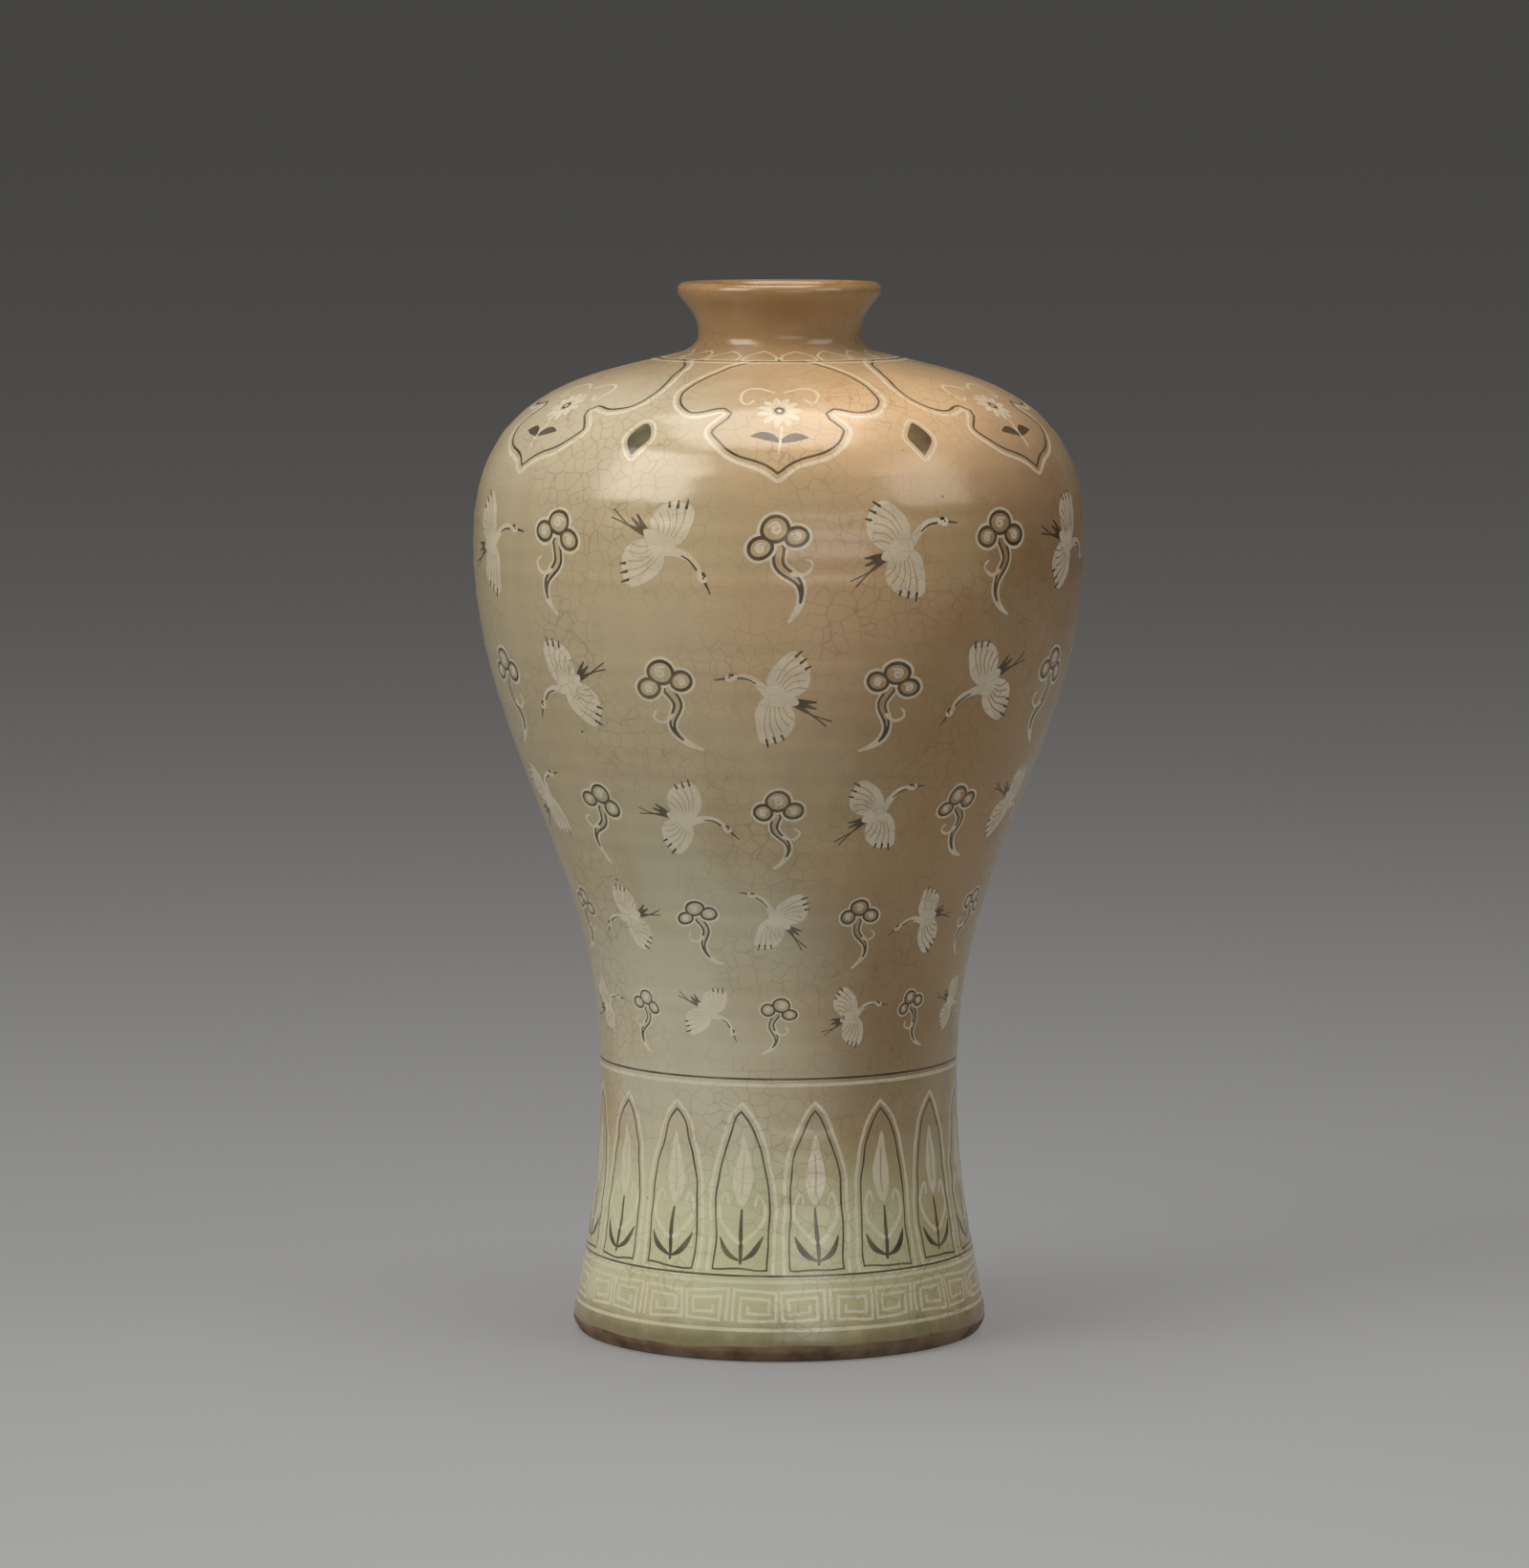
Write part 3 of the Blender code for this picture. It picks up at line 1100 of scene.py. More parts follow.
class VaseBody:
    """The whole vase as one closed mesh: inlaid outside, lip, hollow and foot."""

    BARE_INSIDE = 4.0 * MM
    BASE_TURN = 3.0 * MM
    WELD = 1e-7
    SEAM = 1e-6

    def __init__(self, surface: Surface, fineness: Fineness = Fineness()) -> None:
        """Keeps the surface and how finely it is cut."""
        self.surface = surface
        self.section = surface.section
        self.fineness = fineness

    def build(self, drawing: Drawing, materials: Sequence[bpy.types.Material]) -> bpy.types.Object:
        """Makes the mesh and dresses it.

        Args:
            drawing: The inlay.
            materials: One material for each zone, in order.

        Returns:
            The new object, linked to the scene.
        """
        patchwork = Patchwork()
        self._outside(patchwork, drawing)
        self._rings(patchwork, self._hollow_rows(), Zone.HOLLOW)
        self._rings(patchwork, self._lip_rows(), Zone.GLAZE)
        self._rings(patchwork, self._foot_rows(), Zone.BARE_FOOT)
        self._rings(patchwork, self._base_rows(), Zone.HOLLOW)
        mesh = self._joined(patchwork)
        for material in materials:
            mesh.materials.append(material)
        return placed("vase_body", mesh)

    def _columns(self) -> np.ndarray:
        """Angles of the evenly ringed parts, from the back round the front to the back again."""
        return np.linspace(-math.pi, math.pi, self.fineness.columns + 1)

    def _spaced(self, start: float, end: float, step: float) -> np.ndarray:
        """Distances walked from start to end, about a step apart."""
        return np.linspace(start, end, max(2, round(abs(end - start) / step) + 1))

    def _ring_edge(self, which: int) -> float:
        """Distance walked to the outer edge (0) or the inner edge (1) of the flat standing ring."""
        section = self.section
        flat = section.walk[(section.height < section.FLAT) & (section.walk > section.foot)]
        return float(flat[-1] if which else flat[0])

    def _hollow_rows(self) -> np.ndarray:
        """Rows from the middle of the hollow's floor up to just inside the lip."""
        return self._spaced(0.0, self.section.over_lip - Section.BRIM_DROP, self.fineness.hollow)

    def _lip_rows(self) -> np.ndarray:
        """Rows over the lip."""
        return self._spaced(self.section.over_lip - Section.BRIM_DROP, self.section.brim, self.fineness.edges)

    def _foot_rows(self) -> np.ndarray:
        """Rows from the glaze's edge, under the standing ring, to where the base is glazed again."""
        outer, inner, fine = self._ring_edge(0), self._ring_edge(1), self.fineness
        low = self._spaced(self.section.foot, outer, fine.foot_side)
        flat = self._spaced(outer, inner, fine.standing_ring)
        up = self._spaced(inner, inner + self.BARE_INSIDE, fine.base_edge)
        return np.concatenate([low, flat[1:], up[1:]])

    def _base_rows(self) -> np.ndarray:
        """Rows across the recessed base to its middle."""
        start, fine = self._ring_edge(1) + self.BARE_INSIDE, self.fineness
        turn = self._spaced(start, start + self.BASE_TURN, fine.base_edge)
        return np.concatenate([turn, self._spaced(turn[-1], self.section.walk[-1], fine.base)[1:]])

    def _rings(self, patchwork: Patchwork, rows: np.ndarray, zone: Zone) -> None:
        """Adds an evenly ringed part of the surface."""
        columns = self._columns()
        across, along = np.meshgrid(columns, rows)
        wide = len(columns)
        faces = [
            (j * wide + i, (j + 1) * wide + i, (j + 1) * wide + i + 1, j * wide + i + 1)
            for j in range(len(rows) - 1)
            for i in range(wide - 1)
        ]
        patchwork.add(across.ravel(), along.ravel(), faces, [zone.value] * len(faces))

    def _grid(self, lines: np.ndarray) -> np.ndarray:
        """Points over the unrolled outside that keep clear of the inlay's edges.

        Args:
            lines: The corners of the inlay's outlines, each as angle and distance up.

        Returns:
            Angles and distances up, the edges of the sheet among them.
        """
        fine, section = self.fineness, self.section
        near = kdtree.KDTree(len(lines))
        for number, point in enumerate(self.surface.place(lines[:, 0], section.foot - lines[:, 1])):
            near.insert(Vector(point), number)
        near.balance()
        kept = []
        neck = section.rise_at(fine.neck_height)
        rows = [*self._spaced(0, neck, fine.outside), *self._spaced(neck, section.rise, fine.neck)[1:]]
        for row, rise in enumerate(rows[1:-1]):
            spacing = fine.neck if rise > neck else fine.outside
            count = round(FULL_TURN * float(section.girth(rise)) / spacing)
            turn = (np.arange(count) + (0.25 if row % 2 else 0.75)) / count * FULL_TURN - math.pi
            turn = np.concatenate([turn, [-math.pi, math.pi]])
            rises = np.full(len(turn), rise)
            places = self.surface.place(turn, section.foot - rises)
            for t, r, place in zip(turn, rises, places):
                if near.find(Vector(place))[2] > fine.clear_of_lines:
                    kept.append((t, r))
        edge = self._columns()
        for rise in (0.0, section.rise):
            kept += [(turn, rise) for turn in edge]
        return np.array(kept)

    def _outside(self, patchwork: Patchwork, drawing: Drawing) -> None:
        """Adds the inlaid outside, cut along every edge of the inlay."""
        lines = np.concatenate([outline for _, outline in drawing.outlines])
        flat = np.concatenate([lines, self._grid(lines)])
        scale = np.array([self.fineness.plane_radius, 1.0])
        edges, start = [], 0
        for _, outline in drawing.outlines:
            corners = range(start, start + len(outline))
            edges += zip(corners, [*corners[1:], start])
            start += len(outline)
        spots, _, triangles, from_spots, _, _ = geometry.delaunay_2d_cdt(
            [Vector(p) for p in flat * scale], edges, [], 0, self.WELD, True
        )
        exact = np.array(
            [flat[origin[0]] if origin else np.array(spot) / scale for spot, origin in zip(spots, from_spots)]
        )
        exact, triangles = self._seamed(exact, triangles)
        zones = self._zones(drawing, exact[np.array(triangles)].mean(axis=1))
        patchwork.add(exact[:, 0], self.section.foot - exact[:, 1], triangles, zones)

    def _seamed(self, spots: np.ndarray,
                triangles: Sequence[Sequence[int]]) -> tuple[np.ndarray, list[tuple[int, ...]]]:
        """Gives the sheet's two edges that meet at the back the same corners, so that they weld.

        Args:
            spots: Angle and distance up of each corner.
            triangles: The sheet's triangles.

        Returns:
            The corners with the missing ones added, and the triangles cut at them.
        """
        edge = np.abs(np.abs(spots[:, 0]) - math.pi) < self.SEAM
        spots[edge, 0] = np.sign(spots[edge, 0]) * math.pi
        rises = np.unique(spots[edge, 1])
        added: list[tuple[float, float]] = []
        cut: list[tuple[int, ...]] = []
        for triangle in triangles:
            free = [k for k in range(3) if not edge[triangle[k]]]
            if len(free) > 1:
                cut.append(tuple(triangle))
            elif free:
                start, end, top = (triangle[(free[0] + k) % 3] for k in (1, 2, 0))
                low, high = sorted((spots[start, 1], spots[end, 1]))
                between = rises[(rises > low) & (rises < high)]
                chain = [len(spots) + len(added) + k for k in range(len(between))]
                added += [(spots[start, 0], rise) for rise in between]
                if spots[start, 1] > spots[end, 1]:
                    chain.reverse()
                cut += [(a, b, top) for a, b in zip([start, *chain], [*chain, end])]
        return np.concatenate([spots, np.array(added).reshape(-1, 2)]), cut

    def _zones(self, drawing: Drawing, middles: np.ndarray) -> np.ndarray:
        """Finds the topmost slip at the middle of each triangle.

        Args:
            drawing: The inlay.
            middles: Each triangle's middle, as angle and distance up.

        Returns:
            The material slot of each triangle.
        """
        zones = np.full(len(middles), Zone.GLAZE.value)
        order = np.argsort(middles[:, 1])
        rises = middles[order, 1]
        for slip, outline in drawing.outlines:
            (left, low), (right, high) = outline.min(axis=0), outline.max(axis=0)
            rows = order[np.searchsorted(rises, low):np.searchsorted(rises, high)]
            rows = rows[(middles[rows, 0] > left) & (middles[rows, 0] < right)]
            zones[rows[enclosed(outline, middles[rows])]] = ZONE_OF[slip].value
        return zones

    def _joined(self, patchwork: Patchwork) -> bpy.types.Mesh:
        """Welds the parts into one closed mesh with smooth normals."""
        turn, walk = np.concatenate(patchwork.turns), np.concatenate(patchwork.walks)
        places = self.surface.place(turn, walk)
        keys = np.round(places / self.WELD).astype(np.int64)
        _, first, merged = np.unique(keys, axis=0, return_index=True, return_inverse=True)
        merged = merged.ravel()
        faces, zones = [], []
        for face, zone in zip(patchwork.faces, patchwork.zones):
            corners = list(dict.fromkeys(int(merged[i]) for i in face))
            if len(corners) > 2:
                faces.append(corners)
                zones.append(zone)
        mesh = bpy.data.meshes.new("vase_body")
        mesh.from_pydata(places[first].tolist(), [], faces)
        mesh.polygons.foreach_set("material_index", zones)
        mesh.shade_smooth()
        mesh.normals_split_custom_set_from_vertices(self.surface.normals(turn[first], walk[first]).tolist())
        mesh.update()
        return mesh


# Finishes

@dataclass(frozen=True)
class ColourPatch:
    """A soft oval patch of colour on the outside: most are the kiln's colouring of the glaze, some are
    painted highlights and one is painted shade.
    """

    turn_deg: float
    height: float
    half_width: float
    half_height: float
    colour: str
    strength: float
    depth: float = 0.045

    FROM_AXIS = 0.070

    @property
    def middle(self) -> tuple[float, float, float]:
        """The patch's middle in space."""
        angle = math.radians(self.turn_deg)
        return (self.FROM_AXIS * math.sin(angle), -self.FROM_AXIS * math.cos(angle), self.height)

    @property
    def reach(self) -> tuple[float, float, float]:
        """How far the patch goes each way."""
        return (self.half_width, max(self.depth, self.half_width), self.half_height)


# Soft patches of colour on the outside. Most are the kiln's colouring of the glaze; the pale ones on the left
# shoulder, low on the left and on the foot are partly painted highlights, and the dark brown one at the
# shoulder's right edge is partly painted shade.
KILN_COLOUR_AND_PAINTED_LIGHT_PATCHES = (
    ColourPatch(0, 0.262, 0.070, 0.030, "#9a8361", 0.76, 0.10),
    # Tan glaze, lightened where the lamps leave the right shoulder dim: partly painted light.
    ColourPatch(34, 0.267, 0.056, 0.027, "#d6b38b", 0.84),
    # Pale glaze on the left shoulder, partly a painted highlight.
    ColourPatch(-52, 0.262, 0.050, 0.030, "#bfb9a3", 0.70),
    # Painted highlight: draws the key lamp's reflection further down the left shoulder, on pale glaze.
    ColourPatch(-28, 0.205, 0.050, 0.049, "#c2af8a", 0.66),
    ColourPatch(11, 0.211, 0.036, 0.036, "#bf9f7a", 0.70),
    # Brown glaze at the shoulder's right edge, darkened as painted shade over the fill lamp's reflection.
    ColourPatch(70, 0.226, 0.034, 0.040, "#7b5030", 0.82),
    ColourPatch(24, 0.219, 0.026, 0.024, "#bc996f", 0.60),
    # Painted highlight below the key lamp's reflection on the left shoulder.
    ColourPatch(-30, 0.227, 0.026, 0.020, "#c4b28c", 0.34),
    ColourPatch(42, 0.186, 0.038, 0.036, "#8a693c", 0.71),
    ColourPatch(50, 0.140, 0.042, 0.060, "#96744a", 0.68),
    ColourPatch(31, 0.084, 0.030, 0.044, "#7e6541", 0.71),
    # Pale glaze low on the left, partly a painted highlight down that side.
    ColourPatch(-32, 0.084, 0.045, 0.060, "#c2c2b1", 0.70),
    ColourPatch(0, 0.028, 0.072, 0.027, "#b9bf99", 0.74),
    # Painted highlight on the foot, right of the front.
    ColourPatch(18, 0.038, 0.020, 0.013, "#c8caac", 0.40),
    # Painted highlight on the foot's left, on pale glaze.
    ColourPatch(-52, 0.035, 0.040, 0.027, "#cfd3b2", 0.72),
    ColourPatch(-64, 0.180, 0.055, 0.066, "#a59d81", 0.58),
    ColourPatch(150, 0.225, 0.060, 0.045, "#b09468", 0.60),
    ColourPatch(-140, 0.170, 0.055, 0.060, "#a5a586", 0.62),
    ColourPatch(172, 0.095, 0.060, 0.040, "#8c7450", 0.55),
    ColourPatch(-112, 0.060, 0.045, 0.050, "#b7b292", 0.55),
)


@dataclass(frozen=True)
class CeladonGlaze:
    """Celadon: stoneware with inlaid slip under a clear iron glaze, dipped and fired in a smoky kiln.

    The eye sees an uneven grey-green that the fire turned khaki, tan and brown in soft patches, a glassy
    skin that ripples a little, fine crackle, and slip that shows through the glaze with its tint. Some of the
    patches are painted highlights and painted shade, and the dark band above the foot is partly painted
    shade.

    Attributes:
        name: The material's name.
        slip: Colour of the slip under the glaze, or None where the glaze lies on the clay.
        cover: How much of the slip's own colour shows.
        thinner: How much less of it shows where the slip lies thin.
        thicker: How much more of it shows where it lies thick.
        glossier: How much less rough the glaze is where it melted best.
        duller: How much rougher it is where it melted least.
    """

    name: str
    slip: str | None = None
    cover: float = 0.0
    thinner: float = 0.13
    thicker: float = 0.08
    glossier: float = 0.06
    duller: float = 0.08
    grey_green: str = "#aca080"
    khaki: str = "#ac976f"
    thin_brown: str = "#9b7950"
    lip_brown: str = "#7d5a35"
    # Pooled glaze above the foot, darkened also as painted shade at the bottom of the vase.
    pooled_and_shaded: str = "#5f5739"
    crackle_colour: str = "#5d4c33"
    speck_colour: str = "#3a2a1a"
    roughness: float = 0.19
    ior: float = 1.5
    cloud_mm: float = 46.0
    run_mm: float = 9.0
    run_squeeze: float = 0.16
    slip_mm: float = 7.0
    gloss_mm: float = 30.0
    patch_edge_mm: float = 24.0
    pool_edge_mm: float = 11.0
    crackle_mm: float = 4.2
    crackle_bend_mm: float = 12.0
    crackle_bend: float = 5 * MM
    crackle_where_mm: float = 34.0
    speck_mm: float = 9.0
    peel_mm: float = 3.2
    peel_depth: float = 0.4 * MM

    def make(self) -> bpy.types.Material:
        """Makes the material."""
        material, add, place = blank_material(self.name)
        colour = self._thinned_pooled_and_shaded(add, place, self._with_kiln_colour_and_painted_light(add, place, self._tint(add, place)))
        if self.slip:
            thickness = add("TexNoise", scale=pattern_scale(self.slip_mm), detail=3.0, vector=place)
            shown = add("MapRange", value=thickness, **NOISE_RANGE, to_min=self.cover - self.thinner,
                        to_max=self.cover + self.thicker)
            colour = add("Mix", COLOURS, factor=shown, a=colour, b=linear(self.slip))
        colour, crack = self._crackled(add, place, colour)
        colour = self._specked(add, place, colour)
        skin = add("TexNoise", scale=pattern_scale(self.peel_mm), detail=2.0, vector=place)
        dents = add("Math", MULTIPLY_ADD, _0=crack, _1=-0.12, _2=skin)
        bump = add("Bump", strength=0.10, distance=self.peel_depth, height=dents)
        gloss = add("TexNoise", scale=pattern_scale(self.gloss_mm), detail=3.0, vector=place)
        rough = add("MapRange", value=gloss, **NOISE_RANGE, to_min=self.roughness - self.glossier,
                    to_max=self.roughness + self.duller)
        shader = add("BsdfPrincipled", base_color=colour, roughness=rough, ior=self.ior, normal=bump)
        add("OutputMaterial", surface=shader)
        return material

    def _tint(self, add: AddNode, place: Any) -> Any:
        """Slow clouding between grey-green and khaki, with faint runs down the wall."""
        cloud = add("TexNoise", scale=pattern_scale(self.cloud_mm), detail=4.0, roughness=0.55, vector=place)
        tint = overlaid(add, linear(self.grey_green), self.khaki, cloud, 0.36, 0.64)
        squeezed = add("VectorMath", {"operation": "MULTIPLY"}, _0=place, _1=(1.0, 1.0, self.run_squeeze))
        runs = add("TexNoise", scale=pattern_scale(self.run_mm), detail=3.0, vector=squeezed)
        light = add("MapRange", value=runs, **NOISE_RANGE, to_min=0.90, to_max=1.08)
        return add("VectorMath", {"operation": "SCALE"}, _0=tint, scale=light)

    def _with_kiln_colour_and_painted_light(self, add: AddNode, place: Any, colour: Any) -> Any:
        """Lays the colour patches over the tint, their edges broken by noise: the kiln's colouring, with some
        painted highlights and painted shade among them.
        """
        ragged = add("TexNoise", scale=pattern_scale(self.patch_edge_mm), detail=5.0, vector=place)
        waver = add("Math", MULTIPLY_ADD, _0=ragged, _1=0.9, _2=-0.45)
        for colour_patch in KILN_COLOUR_AND_PAINTED_LIGHT_PATCHES:
            away = add("VectorMath", {"operation": "SUBTRACT"}, _0=place, _1=colour_patch.middle)
            away = add("VectorMath", {"operation": "DIVIDE"}, _0=away, _1=colour_patch.reach)
            away = add("VectorMath", {"operation": "LENGTH"}, _0=away)
            away = add("Math", {"operation": "ADD"}, _0=away, _1=waver)
            colour = overlaid(add, colour, colour_patch.colour, away, 1.5, 0.2, colour_patch.strength, smooth=True)
        return colour

    def _thinned_pooled_and_shaded(self, add: AddNode, place: Any, colour: Any) -> Any:
        """Browns the neck and lip, where the glaze ran thin, and darkens the wall low above the foot, where
        it pooled thick; that dark band is partly painted shade at the bottom of the vase.
        """
        height = add("SeparateXYZ", vector=place).outputs["Z"]
        ragged = add("TexNoise", scale=pattern_scale(self.pool_edge_mm), detail=4.0, vector=place)
        waver = add("Math", MULTIPLY_ADD, _0=ragged, _1=12 * MM, _2=-6 * MM)
        height = add("Math", {"operation": "ADD"}, _0=height, _1=waver)
        for start, full, strength, tone in (
            (0.266, 0.290, 0.80, self.thin_brown),
            (0.2955, 0.3015, 0.65, self.lip_brown),
            # Darker towards the foot: pooled glaze, and painted shade at the bottom.
            (0.0150, 0.0040, 0.72, self.pooled_and_shaded),
        ):
            colour = overlaid(add, colour, tone, height, start, full, strength, smooth=True)
        return colour

    def _crackled(self, add: AddNode, place: Any, colour: Any) -> tuple[Any, Any]:
        """Fine crackle, drawn about three times its real width so that it shows."""
        bend = add("TexNoise", scale=pattern_scale(self.crackle_bend_mm), detail=2.0, vector=place)
        bent = add("VectorMath", MULTIPLY_ADD, _0=bend.outputs["Color"],
                   _1=(self.crackle_bend,) * 3, _2=place)
        cells = add("TexVoronoi", {"feature": "DISTANCE_TO_EDGE"}, scale=pattern_scale(self.crackle_mm),
                    randomness=0.8, vector=bent)
        line = add("MapRange", value=cells, from_min=0.050, from_max=0.012)
        where = add("TexNoise", scale=pattern_scale(self.crackle_where_mm), detail=2.0, vector=place)
        shown = add("MapRange", value=where, from_min=0.38, from_max=0.62, to_min=0.03, to_max=0.30)
        share = add("Math", {"operation": "MULTIPLY"}, _0=line, _1=shown)
        return add("Mix", COLOURS, factor=share, a=colour, b=linear(self.crackle_colour)), line

    def _specked(self, add: AddNode, place: Any, colour: Any) -> Any:
        """Small iron specks that bled through from the clay."""
        cells = add("TexVoronoi", scale=pattern_scale(self.speck_mm), vector=place)
        draw = add("SeparateColor", color=cells.outputs["Color"])
        size = add("MapRange", value=draw, from_min=0.55, from_max=1.0, to_max=0.075)
        near = add("Math", {"operation": "SUBTRACT"}, _0=size, _1=cells)
        return overlaid(add, colour, self.speck_colour, near, 0.0, 0.03, 0.7)


@dataclass(frozen=True)
class BareStoneware:
    """The foot's edge: iron-bearing stoneware, wiped clean of glaze before firing.

    The eye sees dry, burnt brown clay with sand grains and kiln grit stuck to it. Both clay colours are
    darkened as painted shade at the bottom of the foot.
    """

    name: str = "bare_stoneware"
    # Both clay colours are partly painted shade: darkened for the shade low on the foot.
    burnt_and_shaded: str = "#523b2a"
    pale: str = "#76614a"
    grit: str = "#4a3b2e"
    roughness: float = 0.85
    grain_mm: float = 1.1
    grain_depth: float = 0.4 * MM
    patch_mm: float = 9.0
    grit_mm: float = 2.4

    def make(self) -> bpy.types.Material:
        """Makes the material."""
        material, add, place = blank_material(self.name)
        slow = add("TexNoise", scale=pattern_scale(self.patch_mm), detail=6.0, vector=place)
        colour = overlaid(add, linear(self.burnt_and_shaded), self.pale, slow, 0.36, 0.62)
        grains = add("TexVoronoi", scale=pattern_scale(self.grit_mm), vector=place)
        draw = add("SeparateColor", color=grains.outputs["Color"])
        size = add("MapRange", value=draw, from_min=0.6, from_max=1.0, to_max=0.22)
        near = add("Math", {"operation": "LESS_THAN"}, _0=grains, _1=size)
        colour = add("Mix", COLOURS, factor=near, a=colour, b=linear(self.grit))
        grain = add("TexNoise", scale=pattern_scale(self.grain_mm), detail=4.0, vector=place)
        bump = add("Bump", strength=0.5, distance=self.grain_depth, height=grain)
        shader = add("BsdfPrincipled", base_color=colour, roughness=self.roughness, normal=bump)
        add("OutputMaterial", surface=shader)
        return material


# Stage, light and camera

ROOM_GREY = "#454442"


@dataclass(frozen=True)
class PaleFloor:
    """A wide pale floor that glows: a painted pool of light, brightest near the vase, that fades into the dim
    room far from it.
    """

    radius: float = 60.0
    colour: str = "#95999f"
    bright_middle: tuple[float, float, float] = (0.0, -0.5, 0.0)
    paper_share: float = 0.55
    fade_from: float = 0.2
    fade_length: float = 1.2
    glow: float = 6.05
    glow_reach: float = 0.78
    glow_falloff: float = 1.5
    roughness: float = 0.9
    rim_corners: int = 96
    drop: float = 0.2 * MM

    def build(self) -> bpy.types.Object:
        """Makes the floor as one flat disc."""
        angles = np.linspace(0, FULL_TURN, self.rim_corners, endpoint=False)
        rim = [(self.radius * math.cos(a), self.radius * math.sin(a), -self.drop) for a in angles]
        mesh = bpy.data.meshes.new("pale_floor")
        mesh.from_pydata(rim, [], [tuple(range(len(rim)))])
        floor = placed("pale_floor", mesh)
        mesh.materials.append(self._paper_and_glow())
        return floor

    def _paper_and_glow(self) -> bpy.types.Material:
        """Matt paper mixed with a grey glow, strongest near the vase: a painted pool of light that fades into
        the room's own grey with distance, and that also makes the real shadows on the paper fainter.
        """
        material, add, place = blank_material("paper_and_painted_glow")
        away = add("VectorMath", {"operation": "DISTANCE"}, _0=place, _1=self.bright_middle)
        past = add("Math", {"operation": "SUBTRACT"}, _0=away, _1=self.fade_from)
        past = add("Math", {"operation": "MAXIMUM"}, _0=past, _1=0.0)
        left = add("Math", {"operation": "POWER"}, _0=math.exp(-1 / self.fade_length), _1=past)
        left = add("Math", {"operation": "MULTIPLY"}, _0=left, _1=self.paper_share)
        wide = add("Math", {"operation": "DIVIDE"}, _0=away, _1=self.glow_reach)
        wide = add("Math", {"operation": "POWER"}, _0=wide, _1=self.glow_falloff)
        wide = add("Math", {"operation": "ADD"}, _0=wide, _1=1.0)
        glow = add("Math", {"operation": "DIVIDE"}, _0=self.glow, _1=wide)
        glow = add("Math", {"operation": "ADD"}, _0=glow, _1=1.0)
        paper = add("BsdfPrincipled", base_color=linear(self.colour), roughness=self.roughness)
        # Painted light: the floor glows in the room's grey, brightest near the vase and fading with distance.
        grey = add("Emission", color=linear(ROOM_GREY), strength=glow)
        add("OutputMaterial", surface=add("MixShader", _0=left, _1=grey, _2=paper))
        return material


@dataclass(frozen=True)
class SoftBox:
    """One soft area light, aimed at a height on the vase's axis."""

    name: str
    place: tuple[float, float, float]
    size: tuple[float, float]
    watts: float
    colour: str = "#ffffff"
    aim: tuple[float, float, float] = (0.0, 0.0, 0.17)

    def build(self) -> None:
        """Adds the light."""
        data = bpy.data.lights.new(self.name, "AREA")
        data.shape = "RECTANGLE"
        data.size, data.size_y = self.size
        data.energy = self.watts
        data.color = linear(self.colour)[:3]
        lamp = placed(self.name, data)
        lamp.location = self.place
        lamp.rotation_mode = "QUATERNION"
        lamp.rotation_quaternion = (Vector(self.aim) - Vector(self.place)).to_track_quat("-Z", "Y")


SOFT_BOXES = (
    SoftBox("key_softbox", (-2.2, -1.45, 2.1), (2.0, 2.0), 78.0, "#fff9f1"),
    SoftBox("top_softbox", (-0.1, 0.0, 2.6), (1.8, 1.8), 47.0, "#fffaf4"),
    SoftBox("fill_softbox", (2.5, -1.3, 2.0), (1.8, 1.8), 27.0, "#fff9f0"),
    SoftBox("low_softbox", (0.8, -2.8, 0.5), (1.8, 0.8), 9.5, "#ffffff", (0.0, 0.0, 0.06)),
)


@dataclass(frozen=True)
class Room:
    """The dim grey room that the floor fades into."""

    colour: str = ROOM_GREY
    strength: float = 1.0

    def build(self) -> None:
        """Sets the world's even grey."""
        world = bpy.data.worlds.new("dim_room")
        world.use_nodes = True
        backdrop = world.node_tree.nodes["Background"]
        backdrop.inputs["Color"].default_value = linear(self.colour)
        backdrop.inputs["Strength"].default_value = self.strength
        bpy.context.scene.world = world


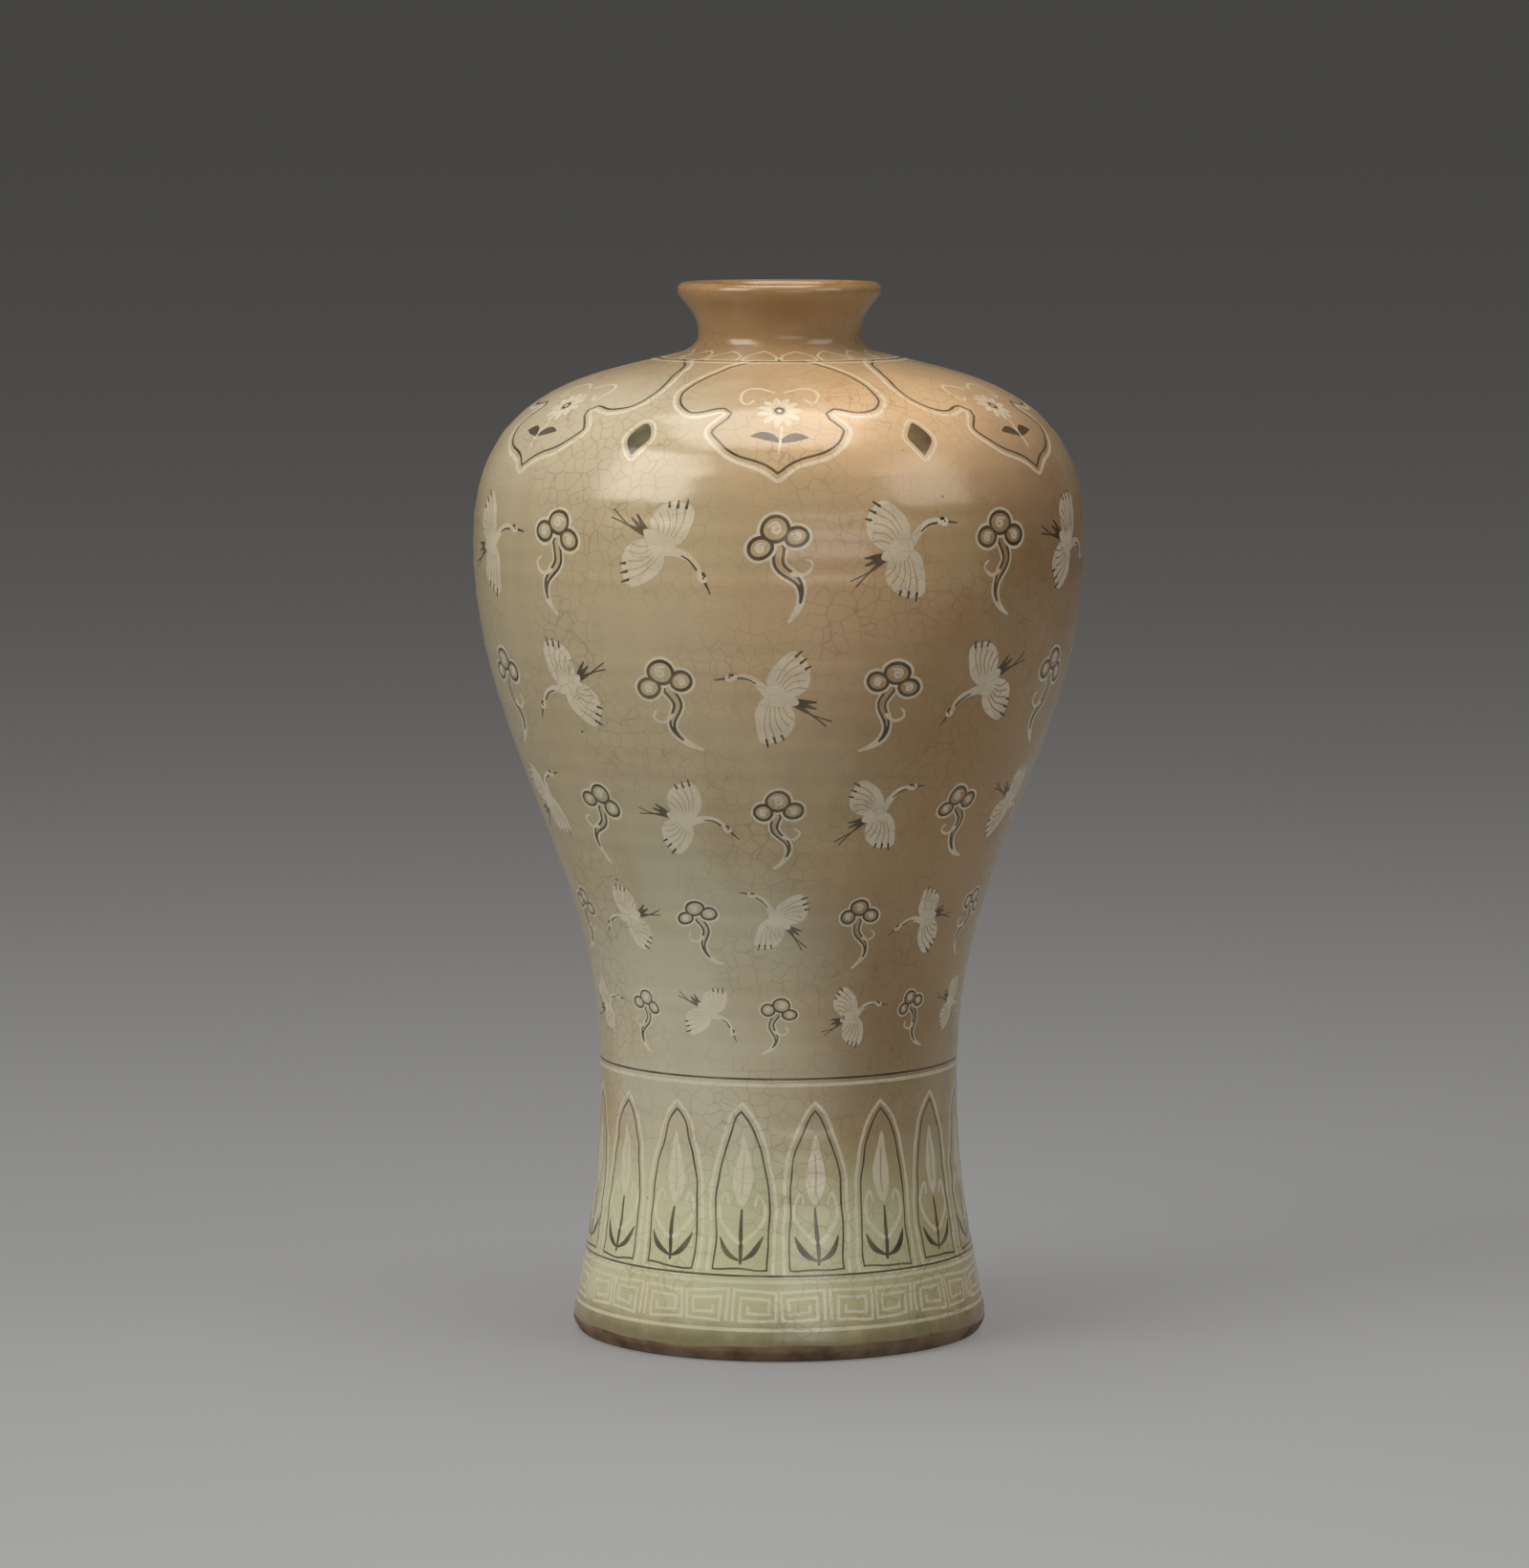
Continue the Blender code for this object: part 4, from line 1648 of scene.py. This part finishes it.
@dataclass(frozen=True)
class PhotoCamera:
    """A long lens at the photo's angle, a little above the vase's middle."""

    distance: float = 1.9
    pitch_deg: float = 6.0
    pixels_per_mm: float = 3.66
    picture_height: float = 1641.0
    picture_width: float = 1600.0
    middle_height: float = 0.150
    middle_pixel: tuple[float, float] = (815.5, 845.0)
    sensor_mm: float = 36.0
    clip: tuple[float, float] = (0.05, 120.0)

    def build(self) -> None:
        """Makes the camera and gives it to the scene."""
        focal_pixels = self.pixels_per_mm * self.distance / MM
        data = bpy.data.cameras.new("photo_camera")
        data.sensor_width = self.sensor_mm
        data.lens = focal_pixels * self.sensor_mm / self.picture_height
        data.clip_start, data.clip_end = self.clip
        camera = placed("photo_camera", data)
        pitch = math.radians(self.pitch_deg)
        camera.location = (
            0.0,
            -self.distance * math.cos(pitch),
            self.middle_height + self.distance * math.sin(pitch),
        )
        right = math.atan((self.middle_pixel[0] - self.picture_width / 2) / focal_pixels)
        down = math.atan((self.middle_pixel[1] - self.picture_height / 2) / focal_pixels)
        camera.rotation_euler = (math.pi / 2 - pitch + down, 0.0, right)
        bpy.context.scene.camera = camera


def main() -> None:
    """Builds the vase, its finishes, the stage, the lights and the camera."""
    logging.basicConfig(level=logging.INFO, format="%(name)s: %(message)s")
    section = Section(frame["nodes"][NODE])
    surface = Surface(section)
    drawing = inlay(section)
    log.info("inlay: %d outlines", len(drawing.outlines))
    materials = [
        CeladonGlaze("celadon_glaze_over_clay").make(),
        CeladonGlaze("celadon_glaze_over_white_slip", slip="#d9d2bd", cover=0.62).make(),
        CeladonGlaze("celadon_glaze_over_black_slip", slip="#1f1a15", cover=0.82).make(),
        CeladonGlaze("celadon_glaze_in_hollow", slip="#6f684f", cover=0.5).make(),
        BareStoneware().make(),
    ]
    body = VaseBody(surface).build(drawing, materials)
    log.info("vase_body: %d faces", len(body.data.polygons))
    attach(body, BODY)
    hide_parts(NODE)
    PaleFloor().build()
    for box in SOFT_BOXES:
        box.build()
    Room().build()
    PhotoCamera().build()
    bpy.context.scene.view_settings.view_transform = "Standard"


if __name__ == "__main__":
    main()
